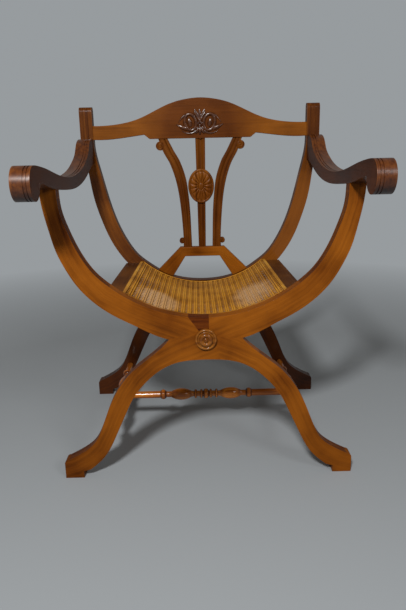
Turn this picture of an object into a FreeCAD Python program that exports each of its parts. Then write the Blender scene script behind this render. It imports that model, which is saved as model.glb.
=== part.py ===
import FreeCAD, Part
import math
import os
from types import SimpleNamespace
import Sketcher
from FreeCAD import Placement, Rotation, Vector

os.makedirs("parts", exist_ok=True)
doc = FreeCAD.newDocument("savonarola_chair")

# Driving sizes in millimetres. The chair faces -Y and X runs across it.
driving_sizes = {
    # Both X-frames
    "frame_thickness": 28,
    "frame_gap": 431.5,
    "foot_inset": 1,
    "post_width": 34,
    "notch_span": 157,
    "notch_height": 327,
    "arch_drop": 47,
    "arch_crown_span": 60,
    "arch_crown_rise": 1,
    "seam_offset": 37,
    "foot_height": 36,
    "toe_radius": 9,
    "foot_pad_length": 42,
    "foot_pad_height": 16,
    # Front frame
    "bowl_half_width": 292,
    "bowl_depth": 289,
    "bowl_bottom_radius": 315,
    "bowl_bottom_span": 380,
    "front_bowl_rise": 47,
    "wedge_offset": 7,
    # Rear frame
    "rear_post_inset": 1,
    "rear_bowl_rise": 25,
    "flare_drop": 10,
    "ear_length": 93,
    "ear_rounding": 12,
    "ear_groove_width": 2.4,
    "ear_groove_depth": 1.6,
    "ear_groove_length": 84,
    # Arms
    "arm_width": 35,
    "arm_lift": 1,
    "arm_rise": 87,
    "arm_overhang": 170,
    "nose_radius": 31,
    "reed_width": 2,
    "reed_depth": 1.5,
    "reed_inset": 5,
    "reed_pitch": 6,
    "post_tenon_length": 32,
    "post_tenon_width": 20,
    "post_tenon_thickness": 12,
    "arm_dowel_diameter": 8,
    "arm_dowel_length": 40,
    "arm_dowel_pitch": 28,
    # Crest rail and its carving
    "crest_thickness": 20,
    "crest_setback": 3,
    "crest_lift": 8,
    "crest_rise": 104,
    "crest_tenon_length": 20,
    "crest_tenon_height": 22,
    "crest_tenon_thickness": 9,
    "carving_width": 126,
    "carving_height": 72,
    "carving_relief": 3,
    "carving_lift": 39,
    # Splat
    "rib_thickness": 12,
    "rib_setback": 6,
    "side_rib_spread": 100,
    "centre_rib_top_width": 27,
    "centre_rib_foot_width": 20,
    "rib_tenon_length": 10,
    "rib_tenon_width": 12,
    "rib_tenon_thickness": 7,
    "scroll_diameter": 24,
    "foot_scroll_diameter": 16,
    "scroll_relief": 2,
    "patera_width": 72,
    "patera_height": 94,
    "patera_thickness": 4,
    "patera_relief": 2,
    "patera_rim": 5,
    "patera_lift": 171,
    "patera_button_diameter": 15,
    "petal_groove_width": 1.6,
    # Bridge under the splat
    "bridge_rise": 97,
    "bridge_height": 27,
    "bridge_span": 126,
    "bridge_thickness": 18,
    "bridge_setback": 4,
    "bridge_foot_width": 46,
    "bridge_dowel_diameter": 8,
    "bridge_dowel_length": 26,
    # Seat
    "seat_rail_inner_span": 338,
    "seat_rail_width": 51,
    "seat_rail_thickness": 21,
    "seat_rail_flat": 21,
    "seat_rail_edge": 2,
    "seat_rail_rise": 44,
    "seat_drop": 11,
    "seat_dowel_diameter": 8,
    "seat_dowel_length": 36,
    "seat_dowel_inset": 9,
    "seat_dowel_pitch": 16,
    "front_sag": 48,
    "rear_sag": 59,
    "cane_thickness": 3,
    "cane_lap": 12,
    "cane_margin": 5,
    "cane_rib_width": 8.5,
    "cane_rib_edge": 0.3,
    "cane_rib_relief": 1,
    "slip_width": 18,
    "slip_height": 15,
    "binding_inset": 3,
    "binding_width": 5,
    "binding_thickness": 1.5,
    # Stretchers
    "stretcher_diameter": 18,
    "bead_diameter": 26,
    "swell_diameter": 31,
    "neck_diameter": 15,
    "side_block_diameter": 28,
    "round_tenon_diameter": 12,
    "round_tenon_length": 16,
    "cross_tenon_length": 9,
    # Crossing boss and dowel
    "boss_diameter": 46,
    "boss_height": 14,
    "crossing_dowel_diameter": 16,
    # Clearance left for glue round every tenon and dowel, and the overrun of every cut
    "glue_gap": 0.1,
    "overrun": 1,
}
sheet = doc.addObject("Spreadsheet::Sheet", "Sizes")
for row, (alias, value) in enumerate(driving_sizes.items(), 1):
    sheet.set(f"A{row}", alias)
    sheet.set(f"B{row}", str(value))
    sheet.setAlias(f"B{row}", alias)
doc.recompute()
size = SimpleNamespace(**{alias: float(sheet.get(alias)) for alias in driving_sizes})

# Places that several pieces share
frame_depth = 2 * size.frame_thickness + size.frame_gap
front_face = (size.arm_overhang - frame_depth) / 2
front_back = front_face + size.frame_thickness
rear_face = front_back + size.frame_gap
rear_back = rear_face + size.frame_thickness
middle_depth = (front_face + rear_back) / 2
front_post_outer = size.bowl_half_width + size.post_width
half_foot = front_post_outer - size.foot_inset
half_notch = size.notch_span / 2
half_lap = size.frame_thickness / 2
rear_post_inner = size.bowl_half_width - size.rear_post_inset
rear_post_outer = rear_post_inner + size.post_width
boss_radius = size.boss_diameter / 2

# Heights, each from the one that carries it. The crossing is level with the notches beside it.
arch_height = size.notch_height - size.arch_drop
front_bowl_height = size.notch_height + size.front_bowl_rise
front_post_height = front_bowl_height + size.bowl_depth
rear_bowl_height = size.notch_height + size.rear_bowl_rise
arm_low = front_post_height + size.arm_lift
flare_height = arm_low + size.arm_rise - size.flare_drop
ear_height = flare_height + size.ear_length
crest_base = flare_height + size.crest_lift
carving_centre = crest_base + size.carving_lift
bridge_top = rear_bowl_height + size.bridge_rise
patera_middle_height = bridge_top + size.patera_lift
seat_rail_height = front_bowl_height + size.seat_rail_rise
sides = {"left": -1, "right": 1}


# Helpers for outlines. A point is (across, up) in the plane that the outline is drawn in.
def line(start, end):
    return Part.LineSegment(Vector(*start, 0), Vector(*end, 0))


def arc(start, middle, end):
    return Part.Arc(Vector(*start, 0), Vector(*middle, 0), Vector(*end, 0))


def curve(points, start_tangent=None, end_tangent=None):
    """A smooth curve through the points, which may leave and arrive along unit tangents."""
    spline = Part.BSplineCurve()
    ends = {}
    if start_tangent:
        ends = {"InitialTangent": Vector(*start_tangent, 0), "FinalTangent": Vector(*end_tangent, 0)}
    spline.interpolate(Points=[Vector(*point, 0) for point in points], Scale=False, **ends)
    return spline


def polygon(points):
    return [line(start, end) for start, end in zip(points, points[1:] + points[:1])]


def scaled(shares, across, up, base=0):
    return [(x_share * across, base + z_share * up) for x_share, z_share in shares]


def flipped(points, side=-1):
    return [(side * x, z) for x, z in points]


# Helpers for solids
def new_body(name, plane_role, outline):
    body = doc.addObject("PartDesign::Body", name)
    plane = [feature for feature in body.Origin.OriginFeatures if feature.Role == plane_role][0]
    sketch = body.newObject("Sketcher::SketchObject", name + "_outline")
    sketch.AttachmentSupport = (plane, [""])
    sketch.MapMode = "FlatFace"
    sketch.addGeometry(outline, False)
    return body, sketch


def board(name, outline, thickness, start=0):
    """A board whose outline is drawn across the chair, with its thickness running back from start."""
    body, sketch = new_body(name, "XZ_Plane", outline)
    pad = body.newObject("PartDesign::Pad", name + "_pad")
    pad.Profile = sketch
    pad.Reversed = True
    pad.setExpression("Length", thickness)
    body.Placement = Placement(Vector(0, start, 0), Rotation())
    return body


def side_board(name, outline, width, start):
    """A board whose outline is drawn in side view, with its width running to the right from start."""
    body, sketch = new_body(name, "YZ_Plane", outline)
    pad = body.newObject("PartDesign::Pad", name + "_pad")
    pad.Profile = sketch
    pad.setExpression("Length", width)
    body.Placement = Placement(Vector(start, 0, 0), Rotation())
    return body


def turned(name, plane_role, profile, base):
    """A piece turned on a lathe: the profile is (along, radius), and base is the middle of its axis."""
    body, sketch = new_body(name, plane_role, profile)
    revolution = body.newObject("PartDesign::Revolution", name + "_turning")
    revolution.Profile = sketch
    revolution.ReferenceAxis = (sketch, ["H_Axis"])
    body.Placement = Placement(Vector(*base), Rotation())
    return body


def block(name, lengths, centre, grow=0):
    """A box about its centre. Lengths are expressions, and grow is added all round for a mortise."""
    box = doc.addObject("Part::Box", name)
    for axis, length in zip(("Length", "Width", "Height"), lengths):
        box.setExpression(axis, f"{length} + 2 * {grow}" if grow else length)
    doc.recompute()
    corner = [
        middle - length.Value / 2 for middle, length in zip(centre, (box.Length, box.Width, box.Height))
    ]
    box.Placement = Placement(Vector(*corner), Rotation())
    return box


def rod(name, diameter, length, centre, direction, grow=0):
    """A plain round rod about its centre, with grow added to its radius and to both ends for a hole."""
    cylinder = doc.addObject("Part::Cylinder", name)
    extra = f" + {grow}" if grow else ""
    cylinder.setExpression("Radius", f"{diameter} / 2{extra}")
    cylinder.setExpression("Height", f"{length}{extra}{extra}")
    doc.recompute()
    turn = Rotation(Vector(0, 0, 1), Vector(*direction))
    start = Vector(*centre) - turn.multVec(Vector(0, 0, cylinder.Height.Value / 2))
    cylinder.Placement = Placement(start, turn)
    return cylinder


def joined(name, pieces):
    fuse = doc.addObject("Part::MultiFuse", name)
    fuse.Shapes = pieces
    fuse.Refine = True
    return fuse


def without(name, base, tools):
    cut = doc.addObject("Part::Cut", name)
    cut.Base = base
    if len(tools) == 1:
        cut.Tool = tools[0]
    else:
        group = doc.addObject("Part::Compound", name + "_cutters")
        group.Links = tools
        cut.Tool = group
    return cut


nodes = {}


def node(name, piece):
    piece.Label = name
    nodes[name] = piece


def towards(start, end):
    """The unit direction from one point to another."""
    length = math.hypot(end[0] - start[0], end[1] - start[1])
    return ((end[0] - start[0]) / length, (end[1] - start[1]) / length)


# The leg outline, from the notch beside the crossing down to the foot and back up to the arch.
# Each point is a share of half the foot span and of the notch height.
leg_outer_shares = (
    (0.39, 0.865), (0.508, 0.768), (0.6, 0.651), (0.667, 0.52), (0.732, 0.355), (0.79, 0.255),
    (0.862, 0.197),
)
leg_inner_shares = (
    (0.751, 0.122), (0.692, 0.193), (0.625, 0.324), (0.557, 0.471), (0.498, 0.59), (0.418, 0.693),
    (0.308, 0.787), (0.206, 0.835),
)
# The crown of the arch is a flat arc that the legs run into smoothly.
arch_end = (size.arch_crown_span / 2, arch_height - size.arch_crown_rise)
arch_radius = (arch_end[0] ** 2 + size.arch_crown_rise ** 2) / (2 * size.arch_crown_rise)
arch_slope = ((size.arch_crown_rise - arch_radius) / arch_radius, arch_end[0] / arch_radius)
arch_crown = ((-arch_end[0], arch_end[1]), (0, arch_height), arch_end)
toe_corner = (half_foot, size.foot_height + size.toe_radius)
toe_top = (half_foot - size.toe_radius, size.foot_height + size.toe_radius)
heel = (half_foot - size.foot_pad_length, size.foot_pad_height)


def leg_outline(side):
    """Edges of the leg that stands on the side +1 or -1 of the chair, from notch to arch."""
    toe_turn = size.toe_radius * (1 - math.sqrt(0.5))
    outer = [(half_notch, size.notch_height)] + scaled(leg_outer_shares, half_foot, size.notch_height)
    outer.append(toe_top)
    instep = (heel[0] - size.foot_pad_height, size.foot_pad_height + size.toe_radius / 2)
    inner = [instep] + scaled(leg_inner_shares, half_foot, size.notch_height)
    inner.append(arch_end)
    toe = [toe_top, (half_foot - toe_turn, toe_top[1] - toe_turn), (half_foot, size.foot_height)]
    floor = [toe[2], (half_foot, 0), (heel[0], 0), heel, instep]
    edges = [curve(flipped(outer, side)), arc(*flipped(toe, side))]
    edges += [line(start, end) for start, end in zip(flipped(floor, side), flipped(floor[1:], side))]
    edges.append(curve(flipped(inner, side), *flipped((towards(inner[0], inner[1]), arch_slope), side)))
    return edges


# Front frame. Its bowl is a round arc at the bottom that runs on up both sides in a tightening curve. The
# inner points are shares of its half width and depth, the outer ones of the post and of its height above
# the notch.
bowl_inner_shares = ((0.988, 0.782), (0.955, 0.671), (0.912, 0.559), (0.855, 0.443), (0.774, 0.329))
bowl_outer_shares = (
    (0.34, 0.035), (0.466, 0.1), (0.555, 0.145), (0.641, 0.197), (0.727, 0.265), (0.822, 0.372),
    (0.881, 0.473), (0.926, 0.574), (0.957, 0.69), (0.985, 0.82),
)


def bowl_height(across):
    """Height of the round bottom of the bowl at this place across."""
    return front_bowl_height + size.bowl_bottom_radius - math.sqrt(size.bowl_bottom_radius ** 2 - across ** 2)


def front_bowl(side, end):
    """The inner edge of the bowl, from the top of the post on that side to the place end across."""
    turn = size.bowl_bottom_span / 2
    slope = (-math.sqrt(1 - (turn / size.bowl_bottom_radius) ** 2), -turn / size.bowl_bottom_radius)
    shares = ((1, 1),) + bowl_inner_shares
    points = scaled(shares, size.bowl_half_width, size.bowl_depth, front_bowl_height)
    points.append((turn, bowl_height(turn)))
    middle = turn / 2
    return [
        curve(flipped(points, side), *flipped(((0, -1), slope), side)),
        arc((side * turn, bowl_height(turn)), (side * middle, bowl_height(middle)), (end, bowl_height(end))),
    ]


def front_bowl_outer(side):
    rise = front_post_height - size.notch_height
    points = scaled(bowl_outer_shares + ((1, 1),), front_post_outer, rise, size.notch_height)
    return curve(flipped([(half_notch, size.notch_height)] + points, side))


# Seams of the front crossing. Where they meet they are hidden behind the boss, at shares of its radius from
# its middle.
wedge_toe_share = (-0.6, 0.72)
wedge_foot_share = 0.92
seam_corner_share = (0.88, 0.16)
seam_start = (-size.seam_offset, bowl_height(size.seam_offset))
right_notch = (half_notch, size.notch_height)
left_notch = (-half_notch, size.notch_height)
seam_shares = (wedge_toe_share, seam_corner_share)
wedge_toe, seam_corner = scaled(seam_shares, boss_radius, boss_radius, size.notch_height)
wedge_foot = (size.wedge_offset, size.notch_height + wedge_foot_share * boss_radius)
wedge_head = (size.wedge_offset, bowl_height(size.wedge_offset))


def front_left_outline():
    """The member that carries the left arm and stands on the right foot, lapped behind."""
    edges = front_bowl(-1, seam_start[0]) + [line(seam_start, wedge_toe)]
    edges += [line(wedge_toe, wedge_foot), line(wedge_foot, right_notch)]
    edges += leg_outline(1)
    edges.append(line(arch_end, left_notch))
    edges.append(front_bowl_outer(-1))
    edges.append(line((-front_post_outer, front_post_height), (-size.bowl_half_width, front_post_height)))
    return edges


def front_right_outline():
    """The member that carries the right arm, lapped in front, with the whole crown of the arch on it."""
    edges = front_bowl(1, wedge_head[0]) + [line(wedge_head, wedge_foot)]
    edges += [line(wedge_foot, wedge_toe), line(wedge_toe, left_notch)]
    edges += leg_outline(-1)
    edges += [arc(*arch_crown), line(arch_end, seam_corner), line(seam_corner, right_notch)]
    edges.append(front_bowl_outer(1))
    edges.append(line((front_post_outer, front_post_height), (size.bowl_half_width, front_post_height)))
    return edges


# Rear frame. Its bowl is flatter and its posts run on up to the ears.
rear_inner_shares = (
    (0.955, 0.802), (0.899, 0.625), (0.823, 0.44), (0.723, 0.285), (0.629, 0.19), (0.529, 0.129),
    (0.43, 0.079), (0.307, 0.035),
)
rear_outer_shares = (
    (0.425, 0.074), (0.655, 0.188), (0.714, 0.244), (0.797, 0.352), (0.8615, 0.478), (0.92, 0.637),
    (0.956, 0.826),
)
rear_inner_rise = flare_height - rear_bowl_height
rear_outer_rise = flare_height - size.notch_height


def rear_bowl(side):
    """The inner edge of the rear bowl, from the straight of the post down to the bottom of the bowl."""
    shares = ((1, 1),) + rear_inner_shares + ((0, 0),)
    points = scaled(shares, side * rear_post_inner, rear_inner_rise, rear_bowl_height)
    return curve(points, (0, -1), (-side, 0))


def rear_bowl_outer(side):
    points = [(side * half_notch, size.notch_height)]
    points += scaled(rear_outer_shares, side * rear_post_outer, rear_outer_rise, size.notch_height)
    points.append((side * rear_post_outer, flare_height))
    return curve(points)


def ear_outline(side):
    """The straight top of a rear post, from its outer edge over the top to its inner edge."""
    points = [
        (side * rear_post_outer, flare_height),
        (side * rear_post_outer, ear_height),
        (side * rear_post_inner, ear_height),
        (side * rear_post_inner, flare_height),
    ]
    return [line(start, end) for start, end in zip(points, points[1:])]


rear_bottom = (0, rear_bowl_height)


def rear_outline(side):
    edges = ear_outline(side) + [rear_bowl(side)]
    edges.append(line(rear_bottom, (-side * half_notch, size.notch_height)))
    edges += leg_outline(-side)
    if side > 0:
        edges.append(arc(*arch_crown))
    edges.append(line(arch_end, (side * half_notch, size.notch_height)))
    edges.append(rear_bowl_outer(side))
    return edges


# Front frame blanks. Each member is cut to half its thickness where its partner crosses it.
def lap_cutter(name, outline, start):
    return board(name, outline, "Sizes.frame_thickness / 2 + Sizes.overrun", start)


front_blanks = {
    "left": board("front_left_blank", front_left_outline(), "Sizes.frame_thickness", front_face),
    "right": board("front_right_blank", front_right_outline(), "Sizes.frame_thickness", front_face),
}
front_laps = {
    "left": lap_cutter("front_left_lap", front_right_outline(), front_face - size.overrun),
    "right": lap_cutter("front_right_lap", front_left_outline(), front_face + half_lap),
}
rear_blanks = {
    "left": board("rear_left_blank", rear_outline(-1), "Sizes.frame_thickness", rear_face),
    "right": board("rear_right_blank", rear_outline(1), "Sizes.frame_thickness", rear_face),
}
for blank in rear_blanks.values():
    doc.recompute()
    back_edges = [
        f"Edge{number}"
        for number, edge in enumerate(blank.Shape.Edges, 1)
        if all(abs(vertex.Z - ear_height) < size.glue_gap for vertex in edge.Vertexes)
        and all(abs(vertex.Y - rear_back) < size.glue_gap for vertex in edge.Vertexes)
    ]
    pad = blank.Tip
    rounding = blank.newObject("PartDesign::Fillet", blank.Name + "_rounding")
    rounding.Base = (pad, back_edges)
    rounding.setExpression("Radius", "Sizes.ear_rounding")
rear_laps = {
    "left": lap_cutter("rear_left_lap", rear_outline(1), rear_face + half_lap),
    "right": lap_cutter("rear_right_lap", rear_outline(-1), rear_face - size.overrun),
}
front_middle = (front_face + front_back) / 2
rear_middle = (rear_face + rear_back) / 2
rear_crossing_height = size.notch_height - (size.front_bowl_rise - size.rear_bowl_rise) / 2

# Front crossing wedge, let in between the seams above the crossing
wedge = board(
    "wedge_blank",
    [
        line(seam_start, wedge_toe),
        line(wedge_toe, wedge_foot),
        line(wedge_foot, wedge_head),
        arc(wedge_head, (0, front_bowl_height), seam_start),
    ],
    "Sizes.frame_thickness",
    front_face,
)
node("front_crossing_wedge", wedge)

# Crossing boss, turned in one piece with the stem that pins the front crossing. A point is the share of the
# boss height and of its radius.
boss_rim_shares = ((0, 1), (0.35, 1), (0.55, 0.93), (0.5, 0.8), (0.36, 0.72), (0.5, 0.64))
boss_ring_shares = ((0.5, 0.64), (0.9, 0.45), (0.78, 0.28), (0.7, 0.24), (0.78, 0.2), (0.96, 0.16), (1, 0.05))
stem_radius = size.crossing_dowel_diameter / 2


def boss_points(shares):
    return [(-along * size.boss_height, across * boss_radius) for along, across in shares]


boss_rim = boss_points(boss_rim_shares)
boss_ring = boss_points(boss_ring_shares)
boss_profile = [
    line(boss_rim[0], boss_rim[1]),
    arc(*boss_rim[1:4]),
    arc(*boss_rim[3:6]),
    arc(*boss_ring[0:3]),
    arc(*boss_ring[2:5]),
    arc(*boss_ring[4:7]),
    line(boss_ring[6], (-size.boss_height, 0)),
    line((-size.boss_height, 0), (size.frame_thickness, 0)),
    line((size.frame_thickness, 0), (size.frame_thickness, stem_radius)),
    line((size.frame_thickness, stem_radius), (0, stem_radius)),
    line((0, stem_radius), boss_rim[0]),
]
node("front_boss", turned("boss", "YZ_Plane", boss_profile, (0, front_face, size.notch_height)))

# Rear crossing dowel
stem_size = ("Sizes.crossing_dowel_diameter", "Sizes.frame_thickness")
rear_dowel = rod("rear_dowel", *stem_size, (0, rear_middle, rear_crossing_height), (0, 1, 0))
node("rear_crossing_dowel", rear_dowel)

# Arms. The outline is drawn in side view, with shares of the run from the rear post to the middle of the
# nose and of the rise from the lowest point of the top edge to its shoulder.
arm_top_shares = (
    (0, 1), (0.045, 0.985), (0.1, 0.83), (0.135, 0.6), (0.193, 0.39), (0.292, 0.172), (0.382, 0.06),
    (0.505, 0), (0.62, 0.03), (0.735, 0.13), (0.87, 0.28), (0.94, 0.335), (1, 0.36),
)
arm_under_shares = (
    (0.927, -0.02), (0.851, -0.115), (0.766, -0.205), (0.694, -0.25), (0.544, -0.31), (0.434, -0.31),
    (0.308, -0.224), (0.186, -0.04), (0.11, 0.12), (0, 0.276),
)
nose_middle = front_face - size.arm_overhang + size.nose_radius
nose_height = arm_low + arm_top_shares[-1][1] * size.arm_rise - size.nose_radius
arm_run = rear_face - nose_middle


def arm_points(shares, lift=0):
    places = scaled(shares, arm_run, size.arm_rise, arm_low + lift)
    return [(rear_face - along, up) for along, up in places]


def on_nose(degrees, radius):
    """A point on the rolled nose: 90 degrees is its top, 180 its front and 360 the underside's start."""
    turn = math.radians(degrees)
    return (nose_middle + radius * math.cos(turn), nose_height + radius * math.sin(turn))


def arm_outline():
    top = arm_points(arm_top_shares)
    under = [on_nose(360, size.nose_radius)] + arm_points(arm_under_shares)
    return [
        curve(top, (-1, 0), (-1, 0)),
        arc(*(on_nose(turn, size.nose_radius) for turn in (90, 180, 270))),
        arc(*(on_nose(turn, size.nose_radius) for turn in (270, 315, 360))),
        curve(under),
        line(under[-1], top[0]),
    ]


def reed_line(lift):
    points = arm_points(arm_top_shares, lift)
    return [(rear_face + size.overrun, points[0][1])] + points


def reed_outline():
    """The strip that a reed's groove takes from the top edge and round the front of the nose."""
    above = reed_line(size.overrun)
    below = reed_line(-size.reed_depth)
    outer = [on_nose(turn, size.nose_radius + size.overrun) for turn in (90, 180, 270)]
    inner = [on_nose(turn, size.nose_radius - size.reed_depth) for turn in (90, 180, 270)]
    return [
        curve(above, (-1, 0), (-1, 0)),
        arc(*outer),
        line(outer[2], inner[2]),
        arc(*inner),
        curve(below, (-1, 0), (-1, 0)),
        line(below[0], above[0]),
    ]


arm_tenon = ("Sizes.post_tenon_width", "Sizes.post_tenon_thickness", "Sizes.post_tenon_length")
arm_dowel = ("Sizes.arm_dowel_diameter", "Sizes.arm_dowel_length")
arm_joint_height = arm_low + size.arm_rise * (arm_top_shares[0][1] + arm_under_shares[-1][1]) / 2
arm_joint_across = (size.bowl_half_width + rear_post_outer) / 2
arm_blanks = {}
arm_dowels = []
arm_dowel_holes = {}
arm_tenons = {}
for name, side in sides.items():
    inner_face = size.bowl_half_width
    start = inner_face if side > 0 else -inner_face - size.arm_width
    arm_blanks[name] = side_board(f"{name}_arm_blank", arm_outline(), "Sizes.arm_width", start)
    cutters = []
    for reed in range(2):
        inset = inner_face + size.reed_inset + reed * size.reed_pitch
        reed_start = inset if side > 0 else -inset - size.reed_width
        reed_name = f"{name}_arm_reed_{reed}"
        cutters.append(side_board(reed_name, reed_outline(), "Sizes.reed_width", reed_start))
    tenon_centre = (
        side * (size.bowl_half_width + size.post_width / 2),
        front_middle,
        front_post_height - size.post_tenon_length / 2,
    )
    arm_tenons[name] = block(f"{name}_post_tenon", arm_tenon, tenon_centre)
    cutters.append(block(f"{name}_arm_mortise", arm_tenon, tenon_centre, "Sizes.glue_gap"))
    arm_dowel_holes[name] = []
    for step in (-0.5, 0.5):
        centre = (side * arm_joint_across, rear_face, arm_joint_height + step * size.arm_dowel_pitch)
        dowel_name = f"{name}_arm_dowel_{'upper' if step > 0 else 'lower'}"
        arm_dowels.append(rod(dowel_name, *arm_dowel, centre, (0, 1, 0)))
        hole = rod(dowel_name + "_hole", *arm_dowel, centre, (0, 1, 0), "Sizes.glue_gap")
        arm_dowel_holes[name].append(hole)
    cutters += arm_dowel_holes[name]
    node(f"{name}_arm", without(f"{name}_arm_cut", arm_blanks[name], cutters))


def group(name, pieces):
    compound = doc.addObject("Part::Compound", name)
    compound.Links = pieces
    return compound


node("arm_dowels", group("arm_dowel_set", arm_dowels))

# Crest rail. Its outline is given in shares of half its span and of its rise at the middle.
crest_top_shares = ((1, 0.346), (0.75, 0.385), (0.585, 0.49), (0.44, 0.663), (0.268, 0.875), (0.123, 0.971))
crest_lip_shares = ((1, 0), (0.81, 0.01), (0.66, 0.058), (0.525, 0.106))
crest_step_share = (0.475, -0.005)
crest_front = rear_face + size.crest_setback
crest_middle = crest_front + size.crest_thickness / 2


def crest_points(shares, side):
    return scaled(shares, side * rear_post_inner, size.crest_rise, crest_base)


crest_peak = (0, crest_base + size.crest_rise)
crest_top = crest_points(crest_top_shares, -1) + [crest_peak] + crest_points(crest_top_shares, 1)[::-1]
crest_outline = [curve(crest_top)]
for side in (-1, 1):
    lip = crest_points(crest_lip_shares, side)
    step = crest_points((crest_step_share,), side)[0]
    shoulder = crest_points(crest_top_shares, side)[0]
    crest_outline += [line(shoulder, lip[0]), curve(lip), line(lip[-1], step)]
crest_outline.append(line(*(crest_points((crest_step_share,), side)[0] for side in (-1, 1))))
crest_blank = board("crest_blank", crest_outline, "Sizes.crest_thickness", crest_front)


def ellipse(centre, half_width, half_height, degrees=0):
    """An oval about a centre, leaning by some degrees."""
    lean = math.radians(degrees)
    along = Vector(math.cos(lean), math.sin(lean), 0)
    across = Vector(-math.sin(lean), math.cos(lean), 0)
    middle = Vector(*centre, 0)
    long_end, short_end = middle + along * half_width, middle + across * half_height
    if half_height > half_width:
        long_end, short_end = short_end, long_end
    return [Part.Ellipse(long_end, short_end, middle)]


# Carving on the crest rail: two oval scrolls with leaf tips, and a shell of lobes below them. Places and
# sizes are shares of the width and height of the whole carving, and the shell's are shares of its height.
scroll_place_share = (0.23, 0.02)
scroll_size_share = (0.2, 0.24)
leaf_place_share = (0.4, -0.08)
leaf_size_share = (0.1, 0.09)
carving_lean = 20
shell_drop_share = 0.22
shell_reach_share = 0.2
shell_lobe_share = (0.17, 0.07)
shell_lobes = 5
shell_first_turn, shell_last_turn = 210, 330
carving_depth = "Sizes.carving_relief + Sizes.overrun"
carving_start = crest_front - size.carving_relief


def carved_oval(name, centre, half_sizes, degrees):
    return board(name, ellipse(centre, *half_sizes, degrees), carving_depth, carving_start)


def across_carving(share):
    return (share[0] * size.carving_width, share[1] * size.carving_height)


carving = []
for name, side in sides.items():
    for form, place_share, size_share, lean in (
        ("scroll", scroll_place_share, scroll_size_share, side * carving_lean),
        ("leaf", leaf_place_share, leaf_size_share, -side * carving_lean),
    ):
        across, up = across_carving(place_share)
        centre = (side * across, carving_centre + up)
        carving.append(carved_oval(f"{name}_carved_{form}", centre, across_carving(size_share), lean))
shell_reach = shell_reach_share * size.carving_height
shell_middle = carving_centre - shell_drop_share * size.carving_height
shell_lobe_halves = [share * size.carving_height for share in shell_lobe_share]
for lobe in range(shell_lobes):
    degrees = shell_first_turn + (shell_last_turn - shell_first_turn) * lobe / (shell_lobes - 1)
    turn = math.radians(degrees)
    centre = (shell_reach * math.cos(turn), shell_middle + shell_reach * math.sin(turn))
    carving.append(carved_oval(f"carved_shell_lobe_{lobe}", centre, shell_lobe_halves, degrees))

crest_tenon = ("2 * Sizes.crest_tenon_length", "Sizes.crest_tenon_thickness", "Sizes.crest_tenon_height")
crest_joint_height = crest_base + crest_top_shares[0][1] * size.crest_rise / 2
crest_mortises = {}
crest_tenons = []
for name, side in sides.items():
    centre = (side * rear_post_inner, crest_middle, crest_joint_height)
    crest_tenons.append(block(f"{name}_crest_tenon", crest_tenon, centre))
    crest_mortises[name] = block(f"{name}_crest_mortise", crest_tenon, centre, "Sizes.glue_gap")

# Splat: three ribs between the crest rail and the bridge
rib_front = rear_face + size.rib_setback
rib_middle = rib_front + size.rib_thickness / 2
rib_rise = crest_base - bridge_top
rib_inner_shares = (
    (0.294, 0), (0.304, 0.137), (0.32, 0.32), (0.352, 0.47), (0.42, 0.64), (0.572, 0.795),
    (0.732, 0.89), (0.897, 1),
)
rib_outer_shares = (
    (0.536, 0), (0.536, 0.12), (0.577, 0.344), (0.634, 0.512), (0.722, 0.652), (0.856, 0.78),
    (1.02, 0.88), (1.15, 1),
)
top_scroll_share = (1.1, 0.935)
foot_scroll_share = (0.57, 0.06)
rib_tenon = ("Sizes.rib_tenon_width", "Sizes.rib_tenon_thickness", "2 * Sizes.rib_tenon_length")
crest_cutters = []
bridge_cutters = []


def rib_with_tenons(name, blank, top, foot, extras):
    """A rib joined to a tenon at each end, with the mortises kept for the crest rail and the bridge."""
    pieces = [blank] + extras
    for end, (across, up), cutters in (("top", top, crest_cutters), ("foot", foot, bridge_cutters)):
        centre = (across, rib_middle, up)
        pieces.append(block(f"{name}_{end}_tenon", rib_tenon, centre))
        cutters.append(block(f"{name}_{end}_mortise", rib_tenon, centre, "Sizes.glue_gap"))
    node(name, joined(f"{name}_joined", pieces))


def rib_points(shares, side):
    return scaled(shares, side * size.side_rib_spread, rib_rise, bridge_top)


for name, side in sides.items():
    inner, outer = rib_points(rib_inner_shares, side), rib_points(rib_outer_shares, side)
    outline = [curve(inner), curve(outer), line(inner[0], outer[0]), line(inner[-1], outer[-1])]
    blank = board(f"splat_{name}_rib_blank", outline, "Sizes.rib_thickness", rib_front)
    scrolls = []
    for end, share, diameter in (
        ("top", top_scroll_share, "Sizes.scroll_diameter"),
        ("foot", foot_scroll_share, "Sizes.foot_scroll_diameter"),
    ):
        across, up = rib_points((share,), side)[0]
        centre = (across, rib_middle - size.scroll_relief / 2, up)
        scroll_length = "Sizes.rib_thickness + Sizes.scroll_relief"
        scrolls.append(rod(f"splat_{name}_{end}_scroll", diameter, scroll_length, centre, (0, 1, 0)))
    top = ((inner[-1][0] + outer[-1][0]) / 2, crest_base)
    foot = ((inner[0][0] + outer[0][0]) / 2, bridge_top)
    rib_with_tenons(f"splat_{name}_rib", blank, top, foot, scrolls)

half_top, half_base = size.centre_rib_top_width / 2, size.centre_rib_foot_width / 2
centre_top = crest_base + crest_step_share[1] * size.crest_rise
centre_outline = polygon([
    (-half_base, bridge_top),
    (half_base, bridge_top),
    (half_top, centre_top),
    (-half_top, centre_top),
])
centre_blank = board("splat_centre_rib_blank", centre_outline, "Sizes.rib_thickness", rib_front)
rib_with_tenons("splat_centre_rib", centre_blank, (0, crest_base), (0, bridge_top), [])

crest_joined = joined("crest_joined", [crest_blank] + crest_tenons + carving)
node("crest_rail", without("crest_mortised", crest_joined, crest_cutters))

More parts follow.
